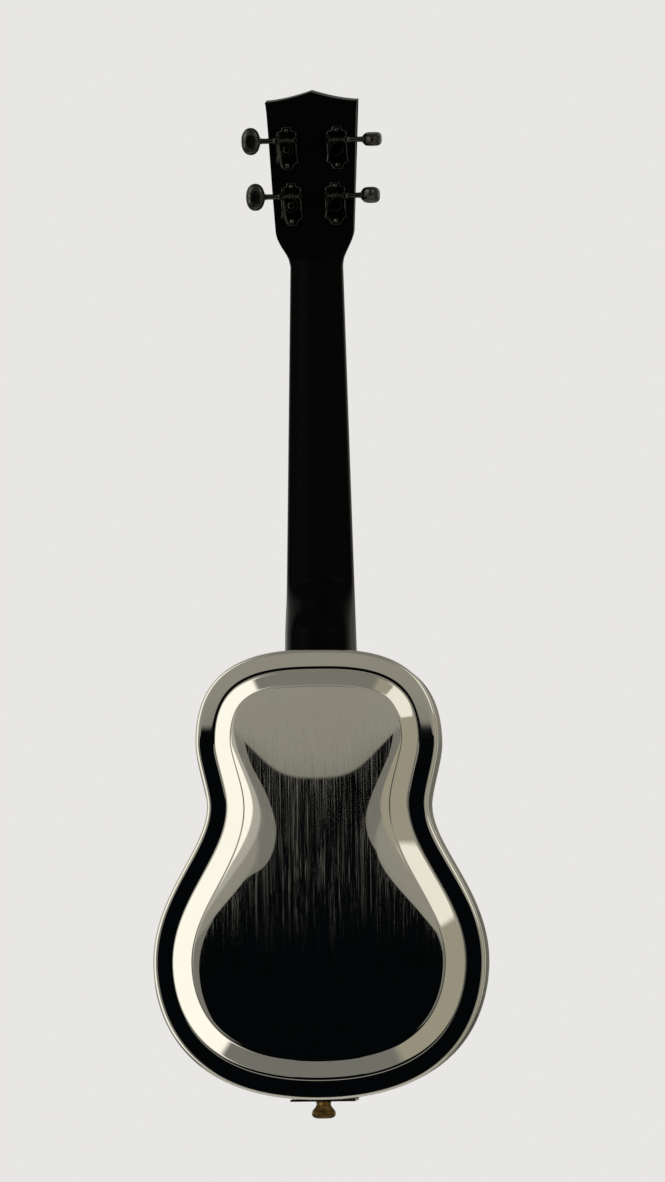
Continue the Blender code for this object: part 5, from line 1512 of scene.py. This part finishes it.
def studio_light():
    """A grey studio with soft panels at the sides and a black flag behind the back."""
    world = bpy.data.worlds.new("studio")
    bpy.context.scene.world = world
    world.use_nodes = True
    tree = world.node_tree
    tree.nodes.clear()
    heading = add(tree, "ShaderNodeTexCoord").outputs["Generated"]
    way = add(tree, "ShaderNodeSeparateXYZ", {0: heading}).outputs
    elevation = reckon(tree, "DEGREES", reckon(tree, "ARCSINE", way["Z"]))
    azimuth = reckon(tree, "DEGREES", reckon(tree, "ARCTAN2", way["X"], way["Y"]))

    def within(value, low, high, soft):
        rising = between(tree, value, low - soft, low + soft)
        return reckon(tree, "MULTIPLY", rising, between(tree, value, high - soft, high + soft, 1.0, 0.0))

    height = between(tree, elevation, -60.0, 70.0)
    light = blended(tree, height, (0.19, 0.187, 0.165, 1), (0.21, 0.205, 0.18, 1))
    panels = (
        # azimuth from +Y towards +X, elevation, softness, light
        ((-75.0, 75.0), (2.1, 12.0), 0.5, (0.30, 0.29, 0.25)),  # pale wall above the black flag
        ((-80.0, -13.0), (-50.0, 45.0), 2.0, (0.36, 0.335, 0.26)),  # reflector towards -X
        ((-60.0, -18.0), (12.0, 38.0), 3.0, (0.95, 0.92, 0.82)),  # small softbox on it
        ((13.0, 22.0), (-30.0, 44.0), 1.0, (0.46, 0.45, 0.40)),  # frame of the big softbox
        ((21.0, 84.0), (-30.0, 44.0), 1.0, (1.16, 1.13, 1.03)),  # big softbox towards +X
        ((54.0, 84.0), (-30.0, 44.0), 5.0, (0.62, 0.60, 0.54)),  # its dimmer side
        ((-1.8, 8.0), (-34.0, 2.08), 0.04, (0.0015, 0.002, 0.0025)),  # black flag behind the back
        ((-11.0, 15.0), (-28.0, -7.0), 1.5, (0.0015, 0.002, 0.0025)),  # its wider foot
        ((112.0, 162.0), (-6.0, 62.0), 8.0, (0.95, 0.93, 0.88)),  # softboxes before the front
        ((-160.0, -120.0), (-14.0, 50.0), 8.0, (0.62, 0.60, 0.56)),
    )
    for across, up, soft, colour in panels:
        sideways, upwards = within(azimuth, *across, soft), within(elevation, *up, min(soft, 0.9))
        share = reckon(tree, "MULTIPLY", sideways, upwards)
        light = blended(tree, share, light, (*colour, 1.0))
    lit = add(tree, "ShaderNodeBackground", {"Color": light, "Strength": 1.0}).outputs[0]
    seen = add(tree, "ShaderNodeBackground", {"Color": PALE, "Strength": 1.0}).outputs[0]
    ray = add(tree, "ShaderNodeLightPath").outputs["Is Camera Ray"]
    both = add(tree, "ShaderNodeMixShader", {0: ray, 1: lit, 2: seen}).outputs[0]
    tree.links.new(both, tree.nodes.new("ShaderNodeOutputWorld").inputs["Surface"])


def studio_floor():
    """A round pale floor with a softly turned edge, well under the instrument."""
    finish = Finish("floor_paint", (0.80, 0.79, 0.77), 0.0, 0.6)
    finish.tint(finish.use(MOTTLE, Scale=6.0, Low=0.0, High=0.4), (0.76, 0.75, 0.73))
    finish.feed("Roughness", finish.use(MOTTLE, Scale=20.0, Low=0.5, High=0.7))
    edge = (FLOOR_RADIUS + FLOOR_THICKNESS, -FLOOR_THICKNESS / 2)
    profile = [(2.0, -FLOOR_THICKNESS), (FLOOR_RADIUS, -FLOOR_THICKNESS), edge, (FLOOR_RADIUS, 0.0), (2.0, 0.0)]
    disc = turned(profile, lambda a, b, level: (a, b, level - FLOOR_DROP), 96)
    floor = made("floor", disc, finish.material)
    floor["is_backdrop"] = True


def soft_lamp(name, spot, aim, size, power):
    lamp = bpy.data.lights.new(name, "AREA")
    lamp.shape, lamp.size, lamp.energy = "DISK", size, power
    lamp.color = (1.0, 0.98, 0.94)
    holder = bpy.data.objects.new(name, lamp)
    holder.location = spot
    holder.rotation_euler = (Vector(aim) - Vector(spot)).to_track_quat("-Z", "Y").to_euler()
    holder.visible_glossy = False
    bpy.context.scene.collection.objects.link(holder)


CAMERA_AWAY = 4.0  # metres from the instrument's middle plane
CAMERA_LEVEL = 0.12  # height of the lens, below the middle of the instrument
CAMERA_SWING = math.radians(3.9)  # towards -X
CAMERA_ROLL = math.radians(-0.7)
AIM = Vector((-0.0102, 0.0, 0.3572))  # what the middle of the frame shows
VIEW_HEIGHT = 0.8035  # metres of the instrument's middle plane in the frame


def camera():
    """A long lens, a little below the instrument's middle and looking slightly up at it."""
    away = Vector((-math.sin(CAMERA_SWING), math.cos(CAMERA_SWING), 0.0)) * CAMERA_AWAY
    away.z = CAMERA_LEVEL - AIM.z
    data = bpy.data.cameras.new("camera")
    data.sensor_fit = "VERTICAL"
    data.sensor_height = 36.0
    data.lens = data.sensor_height * away.length / VIEW_HEIGHT
    holder = bpy.data.objects.new("camera", data)
    look = (-away).to_track_quat("-Z", "Y").to_matrix().to_4x4()
    holder.matrix_world = Matrix.Translation(AIM + away) @ look @ Matrix.Rotation(CAMERA_ROLL, 4, "Z")
    bpy.context.scene.collection.objects.link(holder)
    bpy.context.scene.camera = holder


# ---- The whole instrument -------------------------------------------------------------------------

bpy.context.scene.view_settings.view_transform = "Standard"
camera()
studio_light()
studio_floor()
soft_lamp("key_lamp", (1.1, -0.9, 1.7), (0, 0, 0.3), 0.9, 14.0)
soft_lamp("fill_lamp", (-1.3, 1.2, 1.2), (0, 0, 0.3), 1.1, 7.0)

for make in (
    back_sheet,
    front_sheet,
    side_sheet,
    spun_cone,
    cover,
    bridge,
    hand_rest,
    tail_bracket,
    strap_button,
    string_set,
    neck_and_head,
    head_face,
    finger_board,
    top_nut,
    tuners,
    kept_nodes,
):
    make()

corners = {"cad": cad_box, "visual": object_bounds()}
{name: [list(corner) for corner in box] for name, box in corners.items()}
